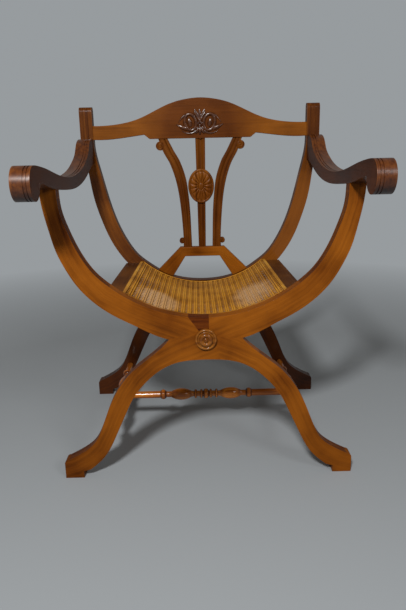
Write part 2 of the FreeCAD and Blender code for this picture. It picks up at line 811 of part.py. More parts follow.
# Patera on the centre rib: an oval plate with a raised rim, a ring of petals and a button
patera_middle = (0, patera_middle_height)
patera_half = (size.patera_width / 2, size.patera_height / 2)
patera_front = rib_front - size.patera_thickness
patera_edge = ellipse(patera_middle, *patera_half)
patera_plate = board("patera_plate", patera_edge, "Sizes.patera_thickness", patera_front)
rim_depth = "Sizes.patera_relief + Sizes.overrun"
rim_start = patera_front - size.patera_relief
rim_inner = [half - size.patera_rim for half in patera_half]
patera_rim = board("patera_rim", patera_edge + ellipse(patera_middle, *rim_inner), rim_depth, rim_start)
button_centre = (0, patera_front - size.patera_relief / 2, patera_middle_height)
button_size = ("Sizes.patera_button_diameter", "2 * Sizes.patera_relief")
patera_button = rod("patera_button", *button_size, button_centre, (0, 1, 0))
petal_count = 16
grooves = []
for petal in range(petal_count):
    turn = 2 * math.pi * (petal + 0.5) / petal_count
    groove = doc.addObject("Part::Box", f"petal_groove_{petal}")
    groove.setExpression("Length", "Sizes.patera_height / 2 - Sizes.patera_rim")
    groove.setExpression("Width", "Sizes.patera_relief")
    groove.setExpression("Height", "Sizes.petal_groove_width")
    groove.Placement = Placement(
        Vector(0, patera_front - size.patera_relief / 2, patera_middle_height),
        Rotation(Vector(0, 1, 0), -math.degrees(turn)),
    )
    grooves.append(groove)
patera_carved = without("patera_carved", patera_plate, grooves)
node("splat_patera", joined("patera_joined", [patera_carved, patera_rim, patera_button]))

# Bridge: a short rail on two splayed legs that stand on the rear bowl
half_bridge = size.bridge_span / 2
bridge_front = rear_face + size.bridge_setback
bridge_foot_share = (0.423, 0.036)
half_stand, bridge_foot_height = scaled(
    (bridge_foot_share,), rear_post_inner, rear_inner_rise, rear_bowl_height
)[0]
bridge_shoulder = bridge_top - size.bridge_height
inner_corner = half_bridge - size.bridge_height / 2
bridge_right = [
    (half_bridge, bridge_top),
    (half_stand + size.bridge_foot_width / 2, bridge_foot_height),
    (half_stand - size.bridge_foot_width / 2, bridge_foot_height - size.bridge_foot_width / 2),
    (inner_corner, bridge_shoulder),
]
bridge_outline = polygon(bridge_right + flipped(bridge_right)[::-1])
bridge_blank = board("bridge_blank", bridge_outline, "Sizes.bridge_thickness", bridge_front)
bridge_dowel_share = 0.93
bridge_middle = bridge_front + size.bridge_thickness / 2
bridge_dowel = ("Sizes.bridge_dowel_diameter", "Sizes.bridge_dowel_length")
bridge_dowels = []
bridge_dowel_holes = {}
for name, side in sides.items():
    across = side * bridge_dowel_share * half_stand
    centre = (across, bridge_middle, bridge_foot_height + size.bridge_dowel_diameter)
    lean = (-side, 0, 1)
    bridge_dowels.append(rod(f"{name}_bridge_dowel", *bridge_dowel, centre, lean))
    bridge_dowel_holes[name] = rod(f"{name}_bridge_hole", *bridge_dowel, centre, lean, "Sizes.glue_gap")
bridge_cutters += list(rear_blanks.values()) + list(bridge_dowel_holes.values())
node("splat_bridge", without("bridge_cut", bridge_blank, bridge_cutters))
node("bridge_dowels", group("bridge_dowel_set", bridge_dowels))

# Seat rails, which fall a little towards the back. Their underside follows the bowls.
half_seat = size.seat_rail_inner_span / 2


def rail_top(depth):
    return seat_rail_height - size.seat_drop * (depth - front_back) / size.frame_gap


def sloped(name, outline, start, length):
    """A strip that runs back from start and falls with the seat."""
    body, sketch = new_body(name, "XZ_Plane", outline)
    pad = body.newObject("PartDesign::Pad", name + "_pad")
    pad.Profile = sketch
    pad.UseCustomVector = True
    pad.Direction = Vector(0, size.frame_gap, -size.seat_drop)
    pad.AlongSketchNormal = True
    pad.setExpression("Length", length)
    body.Placement = Placement(Vector(0, start, 0), Rotation())
    return body


seat_dowel = ("Sizes.seat_dowel_diameter", "Sizes.seat_dowel_length")
seat_dowels = []
seat_dowel_holes = {"front_left": [], "front_right": [], "rear_left": [], "rear_right": []}
for name, side in sides.items():
    rail_points = [
        (half_seat, seat_rail_height),
        (half_seat + size.seat_rail_width, seat_rail_height),
        (half_seat + size.seat_rail_width, seat_rail_height - size.seat_rail_edge),
        (half_seat + size.seat_rail_flat, seat_rail_height - size.seat_rail_thickness),
        (half_seat, seat_rail_height - size.seat_rail_thickness),
    ]
    section = polygon(flipped(rail_points, side))
    blank = sloped(f"{name}_seat_rail_blank", section, front_back, "Sizes.frame_gap")
    rail_holes = []
    for end, depth in (("front", front_back), ("rear", rear_face)):
        for step in range(2):
            centre = (
                side * (half_seat + size.seat_dowel_inset + step * size.seat_dowel_pitch),
                depth,
                rail_top(depth) - size.seat_dowel_inset,
            )
            dowel_name = f"{end}_{name}_seat_dowel_{step}"
            seat_dowels.append(rod(dowel_name, *seat_dowel, centre, (0, 1, 0)))
            hole = rod(dowel_name + "_hole", *seat_dowel, centre, (0, 1, 0), "Sizes.glue_gap")
            rail_holes.append(hole)
            seat_dowel_holes[f"{end}_{name}"].append(hole)
    node(f"{name}_seat_rail", without(f"{name}_seat_rail_cut", blank, rail_holes))
node("seat_rail_dowels", group("seat_dowel_set", seat_dowels))

# Cane panel, sagging between the rails and lapped onto their tops
cane_front = front_back + size.cane_margin
cane_rear = rear_face - size.cane_margin


def cane_low(depth):
    """Height of the underside of the cane at the middle of the seat."""
    share = (depth - cane_front) / (cane_rear - cane_front)
    sag = size.front_sag + share * (size.rear_sag - size.front_sag)
    return rail_top(depth) - sag - size.cane_thickness


def cane_section(depth):
    edge, top, low = half_seat + size.cane_lap, rail_top(depth), cane_low(depth)
    over = top + size.cane_thickness
    outline = [
        line((-edge, top), (-half_seat, top)),
        arc((-half_seat, top), (0, low), (half_seat, top)),
        line((half_seat, top), (edge, top)),
        line((edge, top), (edge, over)),
        line((edge, over), (half_seat, over)),
        arc((half_seat, over), (0, low + size.cane_thickness), (-half_seat, over)),
        line((-half_seat, over), (-edge, over)),
        line((-edge, over), (-edge, top)),
    ]
    wire = Part.Wire([piece.toShape() for piece in outline])
    wire.Placement = Placement(Vector(0, depth, 0), Rotation(Vector(1, 0, 0), 90))
    return wire


cane = doc.addObject("Part::Feature", "cane")
cane.Shape = Part.makeLoft([cane_section(cane_front), cane_section(cane_rear)], True, True)

# Raised ribs of doubled cane, which run from front to back over the panel
cane_rib_count = 24


def cane_top(across, depth):
    """Height of the upper side of the cane, which hangs in a round arc between the rails."""
    sag = rail_top(depth) - cane_low(depth)
    radius = (half_seat ** 2 + sag ** 2) / (2 * sag)
    return cane_low(depth) + size.cane_thickness + radius - math.sqrt(radius ** 2 - across ** 2)


def cane_rib_section(middle, depth):
    near, far = middle - size.cane_rib_width / 2, middle + size.cane_rib_width / 2
    edges = [(across, cane_top(across, depth) + size.cane_rib_edge) for across in (near, far)]
    roots = [(across, up - size.cane_rib_relief) for across, up in edges]
    outline = [
        line(roots[0], roots[1]),
        line(roots[1], edges[1]),
        arc(edges[1], (middle, cane_top(middle, depth) + size.cane_rib_relief), edges[0]),
        line(edges[0], roots[0]),
    ]
    wire = Part.Wire([piece.toShape() for piece in outline])
    wire.Placement = Placement(Vector(0, depth, 0), Rotation(Vector(1, 0, 0), 90))
    return wire


cane_ribs = []
for index in range(cane_rib_count):
    middle = ((index + 0.5) / cane_rib_count - 0.5) * size.seat_rail_inner_span
    rib = doc.addObject("Part::Feature", f"cane_rib_{index}")
    rib.Shape = Part.makeLoft([cane_rib_section(middle, end) for end in (cane_front, cane_rear)], True, True)
    cane_ribs.append(rib)
node("cane_seat", joined("ribbed_cane", [cane] + cane_ribs))

# Curved slips under the front and rear borders of the cane
for end, start, lowest in (
    ("front", front_back, front_back + size.slip_width),
    ("rear", rear_face - size.slip_width, cane_rear),
):
    top, low = rail_top(lowest), cane_low(lowest)
    under = (top - size.slip_height, low - size.slip_height)
    outline = [
        arc((-half_seat, top), (0, low), (half_seat, top)),
        line((half_seat, top), (half_seat, under[0])),
        arc((half_seat, under[0]), (0, under[1]), (-half_seat, under[0])),
        line((-half_seat, under[0]), (-half_seat, top)),
    ]
    node(f"{end}_seat_slip", board(f"{end}_slip_board", outline, "Sizes.slip_width", start))

# Binding strips laid over the row of holes in the cane border
bindings = []
for name, side in sides.items():
    low = rail_top(cane_front) + size.cane_thickness
    near = half_seat + size.binding_inset
    corners = [
        (near, low),
        (near + size.binding_width, low),
        (near + size.binding_width, low + size.binding_thickness),
        (near, low + size.binding_thickness),
    ]
    strip = polygon(flipped(corners, side))
    bindings.append(sloped(f"{name}_binding", strip, cane_front, "Sizes.frame_gap - 2 * Sizes.cane_margin"))
node("cane_binding", group("binding_set", bindings))

# Turned stretchers. Each form is a list of points after the last one: one point is a straight run, two are
# an arc and more are a smooth swell. Along is a share of the half length, and each radius follows a named
# diameter.
neck, bead, swell = size.neck_diameter / 2, size.bead_diameter / 2, size.swell_diameter / 2
plain, stretcher_block = size.stretcher_diameter / 2, size.side_block_diameter / 2
swell_share = 0.82
stretcher_share = (0.695, 0.28)
ring_share = 0.93
ring = ring_share * bead
cross_forms = (
    ((0.02, ring), (0.035, neck)),
    ((0.045, neck),),
    ((0.0595, ring), (0.074, neck)),
    ((0.113, neck),),
    ((0.13, ring), (0.146, neck)),
    ((0.175, neck),),
    ((0.23, swell * swell_share), (0.31, swell), (0.385, swell * swell_share), (0.439, neck)),
    ((0.495, neck),),
    ((0.533, bead), (0.571, plain)),
)
side_forms = (
    ((0.09, stretcher_block),),
    ((0.1, neck),),
    ((0.125, neck),),
    ((0.15, bead), (0.175, neck)),
    ((0.21, neck),),
    ((0.31, swell), (0.46, swell * swell_share), (0.6, neck)),
    ((0.65, neck),),
    ((0.69, bead), (0.73, plain)),
)


def turning_profile(forms, middle_radius, half_length, tenon_length):
    """Both mirrored halves of a turning, its round tenons and the line along its axis."""
    tenon_radius = size.round_tenon_diameter / 2
    tail = [(1, plain), (1, tenon_radius), (1 + tenon_length / half_length, tenon_radius)]
    tail.append((tail[-1][0], 0))
    edges = []
    for side in (-1, 1):
        last = (0, middle_radius)
        for form in tuple(forms) + tuple((point,) for point in tail):
            points = [last] + [(side * along * half_length, radius) for along, radius in form]
            if len(points) == 2:
                edges.append(line(*points))
            elif len(points) == 3:
                edges.append(arc(*points))
            else:
                edges.append(curve(points))
            last = points[-1]
    edges.append(line((-last[0], 0), last))
    return edges


half_span, stretcher_height = scaled((stretcher_share,), half_foot, size.notch_height)[0]
cross_half = half_span - stretcher_block
stretcher_tenon = ("Sizes.round_tenon_diameter", "Sizes.round_tenon_length")
cross_tenon = ("Sizes.round_tenon_diameter", "Sizes.cross_tenon_length")
stretcher_holes = {}
for name, side in sides.items():
    profile = turning_profile(side_forms, stretcher_block, size.frame_gap / 2, size.round_tenon_length)
    base = (side * half_span, middle_depth, stretcher_height)
    blank = turned(f"{name}_stretcher_turning", "YZ_Plane", profile, base)
    across = side * (cross_half + size.cross_tenon_length / 2)
    hole_centre = (across, middle_depth, stretcher_height)
    hole = rod(f"{name}_cross_hole", *cross_tenon, hole_centre, (1, 0, 0), "Sizes.glue_gap")
    node(f"{name}_side_stretcher", without(f"{name}_stretcher_bored", blank, [hole]))
    for end, face, inward in (("front", front_back, -1), ("rear", rear_face, 1)):
        centre = (side * half_span, face + inward * size.round_tenon_length / 2, stretcher_height)
        hole = rod(f"{end}_{name}_stretcher_hole", *stretcher_tenon, centre, (0, 1, 0), "Sizes.glue_gap")
        stretcher_holes[f"{end}_{name}"] = hole
cross_profile = turning_profile(cross_forms, bead, cross_half, size.cross_tenon_length)
cross_base = (0, middle_depth, stretcher_height)
node("cross_stretcher", turned("cross_turning", "XZ_Plane", cross_profile, cross_base))

# Frame members, cut for everything that joins them. A member that carries an arm stands on the other foot.
ear_groove = (
    "Sizes.ear_groove_width",
    "2 * Sizes.ear_groove_depth",
    "Sizes.ear_groove_length + Sizes.overrun",
)
front_crossing = (0, front_middle, size.notch_height)
rear_crossing = (0, rear_middle, rear_crossing_height)
for name, side in sides.items():
    other = "right" if name == "left" else "left"
    stem_hole = rod(f"front_{name}_stem_hole", *stem_size, front_crossing, (0, 1, 0), "Sizes.glue_gap")
    cutters = [front_laps[name], arm_blanks[name], stem_hole, stretcher_holes[f"front_{other}"]]
    cutters += seat_dowel_holes[f"front_{name}"]
    cut = without(f"front_{name}_cut", front_blanks[name], cutters)
    node(f"front_{name}_member", joined(f"front_{name}_joined", [cut, arm_tenons[name]]))

    dowel_hole = rod(f"rear_{name}_dowel_hole", *stem_size, rear_crossing, (0, 1, 0), "Sizes.glue_gap")
    cutters = [rear_laps[name], dowel_hole, stretcher_holes[f"rear_{other}"], crest_mortises[name]]
    cutters += [bridge_dowel_holes[name]] + seat_dowel_holes[f"rear_{name}"] + arm_dowel_holes[name]
    for groove in (1, 2):
        centre = (
            side * (rear_post_inner + groove * size.post_width / 3),
            rear_face,
            ear_height - size.ear_groove_length / 2 + size.overrun / 2,
        )
        cutters.append(block(f"{name}_ear_groove_{groove}", ear_groove, centre))
    node(f"rear_{name}_member", without(f"rear_{name}_cut", rear_blanks[name], cutters))

doc.recompute()
for item in doc.Objects:
    if "Invalid" in item.State or "Error" in item.State:
        raise RuntimeError(f"{item.Name} failed: {item.State}")
for name, piece in nodes.items():
    shape = piece.Shape
    if shape.isNull() or not shape.isValid() or not shape.Solids:
        raise RuntimeError(f"{name} has no valid solid")
for name, piece in nodes.items():
    piece.Shape.exportStep(f"parts/{name}.step")
    print(f"{name}: {len(piece.Shape.Solids)} solid(s), {piece.Shape.Volume:.0f} cubic mm")
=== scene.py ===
import math

import bmesh
import bpy
import numpy
from mathutils import Matrix, Vector


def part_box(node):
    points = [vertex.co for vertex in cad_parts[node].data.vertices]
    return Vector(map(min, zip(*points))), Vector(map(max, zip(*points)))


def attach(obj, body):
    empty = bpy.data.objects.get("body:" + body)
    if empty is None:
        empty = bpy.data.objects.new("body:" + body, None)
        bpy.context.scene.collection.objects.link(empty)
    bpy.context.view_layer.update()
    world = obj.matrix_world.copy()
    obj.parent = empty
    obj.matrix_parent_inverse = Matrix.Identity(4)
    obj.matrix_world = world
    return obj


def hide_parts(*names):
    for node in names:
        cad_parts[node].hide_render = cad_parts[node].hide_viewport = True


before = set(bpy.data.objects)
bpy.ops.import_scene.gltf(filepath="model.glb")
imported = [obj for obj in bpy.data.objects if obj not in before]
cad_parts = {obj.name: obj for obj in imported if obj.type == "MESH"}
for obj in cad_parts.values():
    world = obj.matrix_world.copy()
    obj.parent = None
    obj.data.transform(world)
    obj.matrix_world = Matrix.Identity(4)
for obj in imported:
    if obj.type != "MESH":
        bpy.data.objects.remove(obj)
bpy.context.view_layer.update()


# Front frame. Two curved members, sawn from oak planks and halved into each other where they cross, each
# carry an arm on one side and stand on the foot of the other. Their edges are eased by hand and worn lighter.
def add_node(tree, kind, inputs=None, **settings):
    """Adds a node, and sets or links its inputs by name or number."""
    made = tree.nodes.new(kind)
    for setting, value in settings.items():
        setattr(made, setting, value)
    for key, value in (inputs or {}).items():
        if isinstance(value, bpy.types.NodeSocket):
            tree.links.new(value, made.inputs[key])
        else:
            made.inputs[key].default_value = value
    return made


def calculate(tree, operation, *values):
    """The result of one sum on numbers, sockets or fields."""
    return add_node(tree, "ShaderNodeMath", dict(enumerate(values)), operation=operation).outputs[0]


def mixed(tree, share, first, second, blend="MIX"):
    """A mix of two colours."""
    inputs = {0: share, 6: first, 7: second}
    return add_node(tree, "ShaderNodeMix", inputs, data_type="RGBA", blend_type=blend).outputs[2]


def ramp(tree, value, *stops):
    """Turns a value into the colours or greys that the stops give, each as (place, colour)."""
    made = add_node(tree, "ShaderNodeValToRGB", {0: value})
    elements = made.color_ramp.elements
    while len(elements) < len(stops):
        elements.new(0.5)
    for element, (place, colour) in zip(elements, stops):
        element.position = place
        element.color = (*colour, 1) if len(colour) == 3 else (colour[0],) * 3 + (1,)
    return made.outputs["Color"]


def noise(tree, source, stretch, detail=2.0, distortion=0.0):
    """Noise over places that are stretched along X, Y and Z."""
    scaled = add_node(tree, "ShaderNodeMapping", {"Vector": source, "Scale": stretch}).outputs["Vector"]
    inputs = {"Vector": scaled, "Scale": 1.0, "Detail": detail, "Distortion": distortion}
    return add_node(tree, "ShaderNodeTexNoise", inputs).outputs["Fac"]


def new_material(name):
    """A plain material, with its tree and its shader."""
    material = bpy.data.materials.new(name)
    material.use_nodes = True
    return material, material.node_tree, material.node_tree.nodes["Principled BSDF"]


def polished_wood(name, dark, body, light, roughness, gloss=0.03, darker_below=None):
    """Old oak under a shellac polish: long figure, fine fibres, dark pores, grime, and paler worn edges.
    Between two heights it can darken towards the floor."""
    material, tree, shader = new_material(name)
    grain = add_node(tree, "ShaderNodeAttribute", attribute_name="grain").outputs["Vector"]
    worn = add_node(tree, "ShaderNodeAttribute", attribute_name="worn").outputs["Fac"]
    place = add_node(tree, "ShaderNodeTexCoord").outputs["Object"]
    figure = noise(tree, grain, (5, 150, 150), 3.0, 0.4)
    fibres = noise(tree, grain, (24, 900, 900))
    pores = noise(tree, grain, (130, 2300, 2300), 1.0)
    grime = noise(tree, place, (8, 8, 8), 3.0)
    colour = ramp(tree, figure, (0.3, dark), (0.5, body), (0.74, light))
    streaks = ramp(tree, fibres, (0.3, (0.66, 0.6, 0.54)), (0.64, (1.08, 1.06, 1.04)))
    colour = mixed(tree, 0.75, colour, streaks, "MULTIPLY")
    pits = ramp(tree, pores, (0.6, (0,)), (0.7, (1,)))
    pit_colour = (dark[0] * 0.35, dark[1] * 0.3, dark[2] * 0.3, 1)
    colour = mixed(tree, calculate(tree, "MULTIPLY", pits, 0.55), colour, pit_colour)
    stain = ramp(tree, grime, (0.34, (0.56, 0.42, 0.36)), (0.5, (0.9, 0.84, 0.8)), (0.66, (1.1, 1.08, 1.04)))
    colour = mixed(tree, 0.7, colour, stain, "MULTIPLY")
    edge_line = ramp(tree, worn, (0.6, (0,)), (1.0, (1,)))
    rubbed = ramp(tree, calculate(tree, "MULTIPLY", edge_line, grime), (0.25, (0,)), (0.65, (0.6,)))
    pale = (light[0] * 1.4 + 0.01, light[1] * 1.35 + 0.003, light[2] * 1.2, 1)
    colour = mixed(tree, rubbed, colour, pale)
    # Below the upper height the colour darkens towards the floor; on the rear frame and the bridge this is
    # painted shade.
    if darker_below:
        height = add_node(tree, "ShaderNodeSeparateXYZ", {0: place}).outputs["Z"]
        height_share = add_node(tree, "ShaderNodeMapRange", {0: height, 1: darker_below[0], 2: darker_below[1]}).outputs[0]
        colour = mixed(tree, height_share, mixed(tree, 1.0, colour, (0.42, 0.34, 0.34, 1), "MULTIPLY"), colour)
    dull = calculate(tree, "MULTIPLY_ADD", pits, 0.25, roughness)
    dull = calculate(tree, "MULTIPLY_ADD", grime, 0.16, dull)
    surface = calculate(tree, "MULTIPLY_ADD", pits, -0.6, fibres)
    bump = add_node(tree, "ShaderNodeBump", {"Strength": 0.35, "Distance": 0.0004, "Height": surface})
    tree.links.new(colour, shader.inputs["Base Color"])
    tree.links.new(dull, shader.inputs["Roughness"])
    tree.links.new(bump.outputs["Normal"], shader.inputs["Normal"])
    shader.inputs["Specular IOR Level"].default_value = 0.06
    shader.inputs["Coat Weight"].default_value = gloss
    shader.inputs["Coat Roughness"].default_value = 0.14
    return material


def merged_copy(node):
    """A copy of a CAD node's mesh with its loose triangles merged and its flat faces made whole."""
    solid = bmesh.new()
    solid.from_mesh(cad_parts[node].data)
    bmesh.ops.remove_doubles(solid, verts=solid.verts, dist=0.00002)
    bmesh.ops.dissolve_limit(solid, angle_limit=math.radians(0.3), verts=solid.verts, edges=solid.edges)
    return solid


corner_angle, rounded_angle = 0.6, 0.87


def ease(solid, radius, chosen, segments=3):
    """Rounds the outward edges whose middle is chosen, and marks them as worn."""
    worn = solid.verts.layers.float.get("worn") or solid.verts.layers.float.new("worn")
    edges = []
    for edge in solid.edges:
        middle = (edge.verts[0].co + edge.verts[1].co) / 2
        if len(edge.link_faces) == 2 and edge.calc_face_angle_signed(0) > corner_angle and chosen(middle, edge):
            edges.append(edge)
    eased = bmesh.ops.bevel(
        solid, geom=edges, offset=radius, offset_type="OFFSET", segments=segments, profile=0.5,
        affect="EDGES", clamp_overlap=True,
    )
    for corner in eased["verts"]:
        corner[worn] = 1.0


def refine(solid, longest):
    """Divides the mesh until no edge is longer than this, so that the grain can follow the board."""
    bmesh.ops.triangulate(solid, faces=solid.faces)
    for _ in range(7):
        long_edges = [edge for edge in solid.edges if edge.calc_length() > longest]
        if not long_edges:
            break
        bmesh.ops.subdivide_edges(solid, edges=long_edges, cuts=1)
        bmesh.ops.triangulate(solid, faces=[face for face in solid.faces if len(face.verts) > 3])


def along_line(points):
    """Measures places against a line of (x, z) points: along it, beside it, and into the board."""
    line = numpy.array(points, float)
    steps = numpy.diff(line, axis=0)
    lengths = numpy.linalg.norm(steps, axis=1)
    starts = numpy.concatenate(([0], numpy.cumsum(lengths)[:-1]))

    def measure(places):
        offset = places[:, None, (0, 2)] - line[None, :-1]
        share = numpy.clip((offset * steps).sum(2) / lengths**2, 0, 1)
        away = offset - share[..., None] * steps
        rows = numpy.arange(len(places))
        nearest = numpy.linalg.norm(away, axis=2).argmin(1)
        step, gap = steps[nearest], away[rows, nearest]
        across = (step[:, 0] * gap[:, 1] - step[:, 1] * gap[:, 0]) / lengths[nearest]
        along = starts[nearest] + share[rows, nearest] * lengths[nearest]
        return numpy.column_stack((along, across, places[:, 1]))

    return measure


def along_axis(axis):
    """Measures places in a straight board whose grain runs along X, Y or Z."""
    order = {"X": (0, 2, 1), "Y": (1, 0, 2), "Z": (2, 0, 1)}[axis]
    return lambda places: places[:, order]


planks = iter(range(100))


def finish_wood(name, solid, material, grain, nodes, longest=0.014):
    """Makes the finished piece, with its grain laid along the board and each board cut from its own plank."""
    refine(solid, longest)
    for edge in solid.edges:
        edge.smooth = len(edge.link_faces) == 2 and edge.calc_face_angle(0) < rounded_angle
    for face in solid.faces:
        face.smooth = True
    mesh = bpy.data.meshes.new(name)
    solid.to_mesh(mesh)
    solid.free()
    places = numpy.array([corner.co for corner in mesh.vertices])
    plank = next(planks)
    measured = grain(places) + numpy.array((0.83 * plank, 0.37 * plank, 0.59 * plank))
    layer = mesh.attributes.new("grain", "FLOAT_VECTOR", "POINT")
    layer.data.foreach_set("vector", measured.astype(numpy.float32).ravel())
    mesh.materials.append(material)
    rough = bpy.data.objects.new(name + "_rough", mesh)
    bpy.context.scene.collection.objects.link(rough)
    rough.modifiers.new("even_faces", "WEIGHTED_NORMAL").keep_sharp = True
    evened = rough.evaluated_get(bpy.context.evaluated_depsgraph_get())
    piece = bpy.data.objects.new(name, bpy.data.meshes.new_from_object(evened))
    bpy.data.objects.remove(rough)
    bpy.context.scene.collection.objects.link(piece)
    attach(piece, "root")
    if nodes:
        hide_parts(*nodes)
    return piece


frame_oak = polished_wood(
    "frame_oak", (0.066, 0.0145, 0.001), (0.15, 0.0405, 0.002), (0.225, 0.069, 0.005), 0.34,
    darker_below=(-0.35, 0.3),
)
front_board = [corner[1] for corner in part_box("front_left_member")]
arm_seat = 0.64


def lies_on(place, *walls):
    """Whether a coordinate is that of one of these flat walls."""
    return min(abs(place - wall) for wall in walls) < 0.0001


lap_half_width, lap_bottom, lap_top = 0.0775, 0.2815, 0.3725
ear_bottom, ear_inside, ear_outside = 0.74, 0.293, 0.323


def on_board_edge(board, lapped=False):
    """Chooses the long edges of a board whose faces stand at two depths, or only those round its lap. The
    grooves in an ear are left sharp."""

    def chosen(middle, edge):
        on_face = lies_on(middle.y, *board) and lies_on(edge.verts[0].co.y, edge.verts[1].co.y)
        in_lap = abs(middle.x) < lap_half_width and lap_bottom < middle.z < lap_top
        in_ear = middle.z > ear_bottom and ear_inside < abs(middle.x) < ear_outside
        return on_face and in_lap == lapped and not in_ear

    return chosen


leg_line = [
    (0.06, 0.302), (0.113, 0.275), (0.151, 0.241), (0.178, 0.203), (0.199, 0.162),
    (0.2205, 0.111), (0.241, 0.073), (0.262, 0.052), (0.3, 0.03), (0.34, 0.02),
]
front_bowl_line = [
    (-0.309, 0.75), (-0.309, 0.663), (-0.306, 0.61), (-0.293, 0.557), (-0.276, 0.51),
    (-0.249, 0.465), (-0.213, 0.425), (-0.16, 0.392), (-0.1, 0.366), (-0.05, 0.347), (0.0, 0.326),
]
for side, flip in (("left", 1), ("right", -1)):
    member = merged_copy(f"front_{side}_member")
    board_edge = on_board_edge(front_board)
    ease(member, 0.0032, lambda middle, edge: board_edge(middle, edge) and middle.z < arm_seat)
    ease(member, 0.0006, on_board_edge(front_board, lapped=True), segments=1)
    grain_line = along_line([(flip * x, z) for x, z in front_bowl_line + leg_line])
    name, nodes = f"front_{side}_frame_member", [f"front_{side}_member"]
    finish_wood(name, member, frame_oak, grain_line, nodes)

# Front crossing. A small darker wedge is let in above the crossing, and a turned boss with a ring, a groove
# and a button covers it. The boss has a stem that pins the two members together.
wedge_oak = polished_wood(
    "wedge_oak", (0.055, 0.011, 0.002), (0.11, 0.025, 0.0025), (0.165, 0.046, 0.005), 0.3
)
wedge = merged_copy("front_crossing_wedge")
finish_wood("crossing_wedge", wedge, wedge_oak, along_axis("X"), ["front_crossing_wedge"])
boss_oak = polished_wood(
    "boss_oak", (0.15, 0.046, 0.004), (0.26, 0.094, 0.01), (0.36, 0.15, 0.024), 0.2, gloss=0.4
)
boss = merged_copy("front_boss")
finish_wood("crossing_boss", boss, boss_oak, along_axis("X"), ["front_boss"], longest=0.006)

# Rear frame. Its members are halved together in the same way, but their bowl is flatter and their posts run
# on up past the arms to the ears, curved over at the top. A plain dowel pins them, hidden behind the seat.
# The rear frame's oak is a darker copy of the front frame's, as painted shade, and it darkens further towards
# the floor as painted shade under the seat.
rear_oak = polished_wood(
    "rear_oak", (0.05, 0.0115, 0.001), (0.096, 0.026, 0.0015), (0.15, 0.046, 0.004), 0.32, gloss=0.3,
    darker_below=(0.26, 0.36),
)
rear_board = [corner[1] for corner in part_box("rear_left_member")]
ear_curve, ear_cuts = 0.013, (0.0, 0.3, 0.5, 0.66, 0.8, 0.9, 0.97)
rear_bowl_line = [
    (-0.308, 0.86), (-0.308, 0.74), (-0.295, 0.666), (-0.281, 0.593), (-0.262, 0.524),
    (-0.238, 0.468), (-0.211, 0.427), (-0.187, 0.403), (-0.134, 0.37), (-0.08, 0.348), (0.0, 0.322),
]
for side, flip in (("left", 1), ("right", -1)):
    member = merged_copy(f"rear_{side}_member")
    ease(member, 0.003, on_board_edge(rear_board))
    ear_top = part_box(f"rear_{side}_member")[1][2]
    for share in ear_cuts:
        bmesh.ops.bisect_plane(
            member,
            geom=member.verts[:] + member.edges[:] + member.faces[:],
            plane_co=(0, 0, ear_top - ear_curve * (1 - share)),
            plane_no=(0, 0, 1),
        )
    for corner in member.verts:
        climbed = max(0.0, corner.co.z - ear_top + ear_curve)
        pushed = ear_curve - math.sqrt(max(0.0, ear_curve**2 - climbed**2))
        corner.co.y += pushed * (rear_board[1] - corner.co.y) / (rear_board[1] - rear_board[0])
    grain_line = along_line([(flip * x, z) for x, z in rear_bowl_line + leg_line])
    name, nodes = f"rear_{side}_frame_member", [f"rear_{side}_member"]
    finish_wood(name, member, rear_oak, grain_line, nodes)


def dowel_wood(name, dark, body):
    """Plain beech, with short flecks."""
    material, tree, shader = new_material(name)
    fleck = noise(tree, add_node(tree, "ShaderNodeTexCoord").outputs["Object"], (900, 60, 900))
    tree.links.new(ramp(tree, fleck, (0.35, dark), (0.65, body)), shader.inputs["Base Color"])
    bump = add_node(tree, "ShaderNodeBump", {"Strength": 0.3, "Distance": 0.0002, "Height": fleck})
    tree.links.new(bump.outputs["Normal"], shader.inputs["Normal"])
    shader.inputs["Roughness"].default_value = 0.5
    return material


peg_beech = dowel_wood("peg_beech", (0.09, 0.035, 0.012), (0.2, 0.09, 0.035))
for node in ("rear_crossing_dowel", "arm_dowels", "bridge_dowels", "seat_rail_dowels"):
    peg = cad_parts[node]
    peg.data.materials.clear()
    peg.data.materials.append(peg_beech)

# Arms. Each is sawn from a thick plank in a long S with a rolled nose, mortised onto the front post and
# dowelled to the rear one. A bead and two fine reeds run along its top and over the nose. The polish is thick
# on the top and the nose, and the sides and the underside are darkened as painted shade.
def tinted(material, share, tint):
    """Multiplies a material's colour by a tint where the share is high."""
    tree = material.node_tree
    shader = tree.nodes["Principled BSDF"]
    plain = shader.inputs["Base Color"].links[0].from_socket
    tint_mixed = mixed(tree, share, plain, mixed(tree, 1.0, plain, (*tint, 1), "MULTIPLY"))
    tree.links.new(tint_mixed, shader.inputs["Base Color"])


def facing(tree):
    """The way a surface faces, along X, Y and Z."""
    normal = add_node(tree, "ShaderNodeNewGeometry").outputs["Normal"]
    return add_node(tree, "ShaderNodeSeparateXYZ", {0: normal}).outputs


arm_oak = polished_wood("arm_oak", (0.05, 0.0115, 0.001), (0.1, 0.026, 0.002), (0.15, 0.046, 0.005), 0.26)
tree = arm_oak.node_tree
faced = facing(tree)
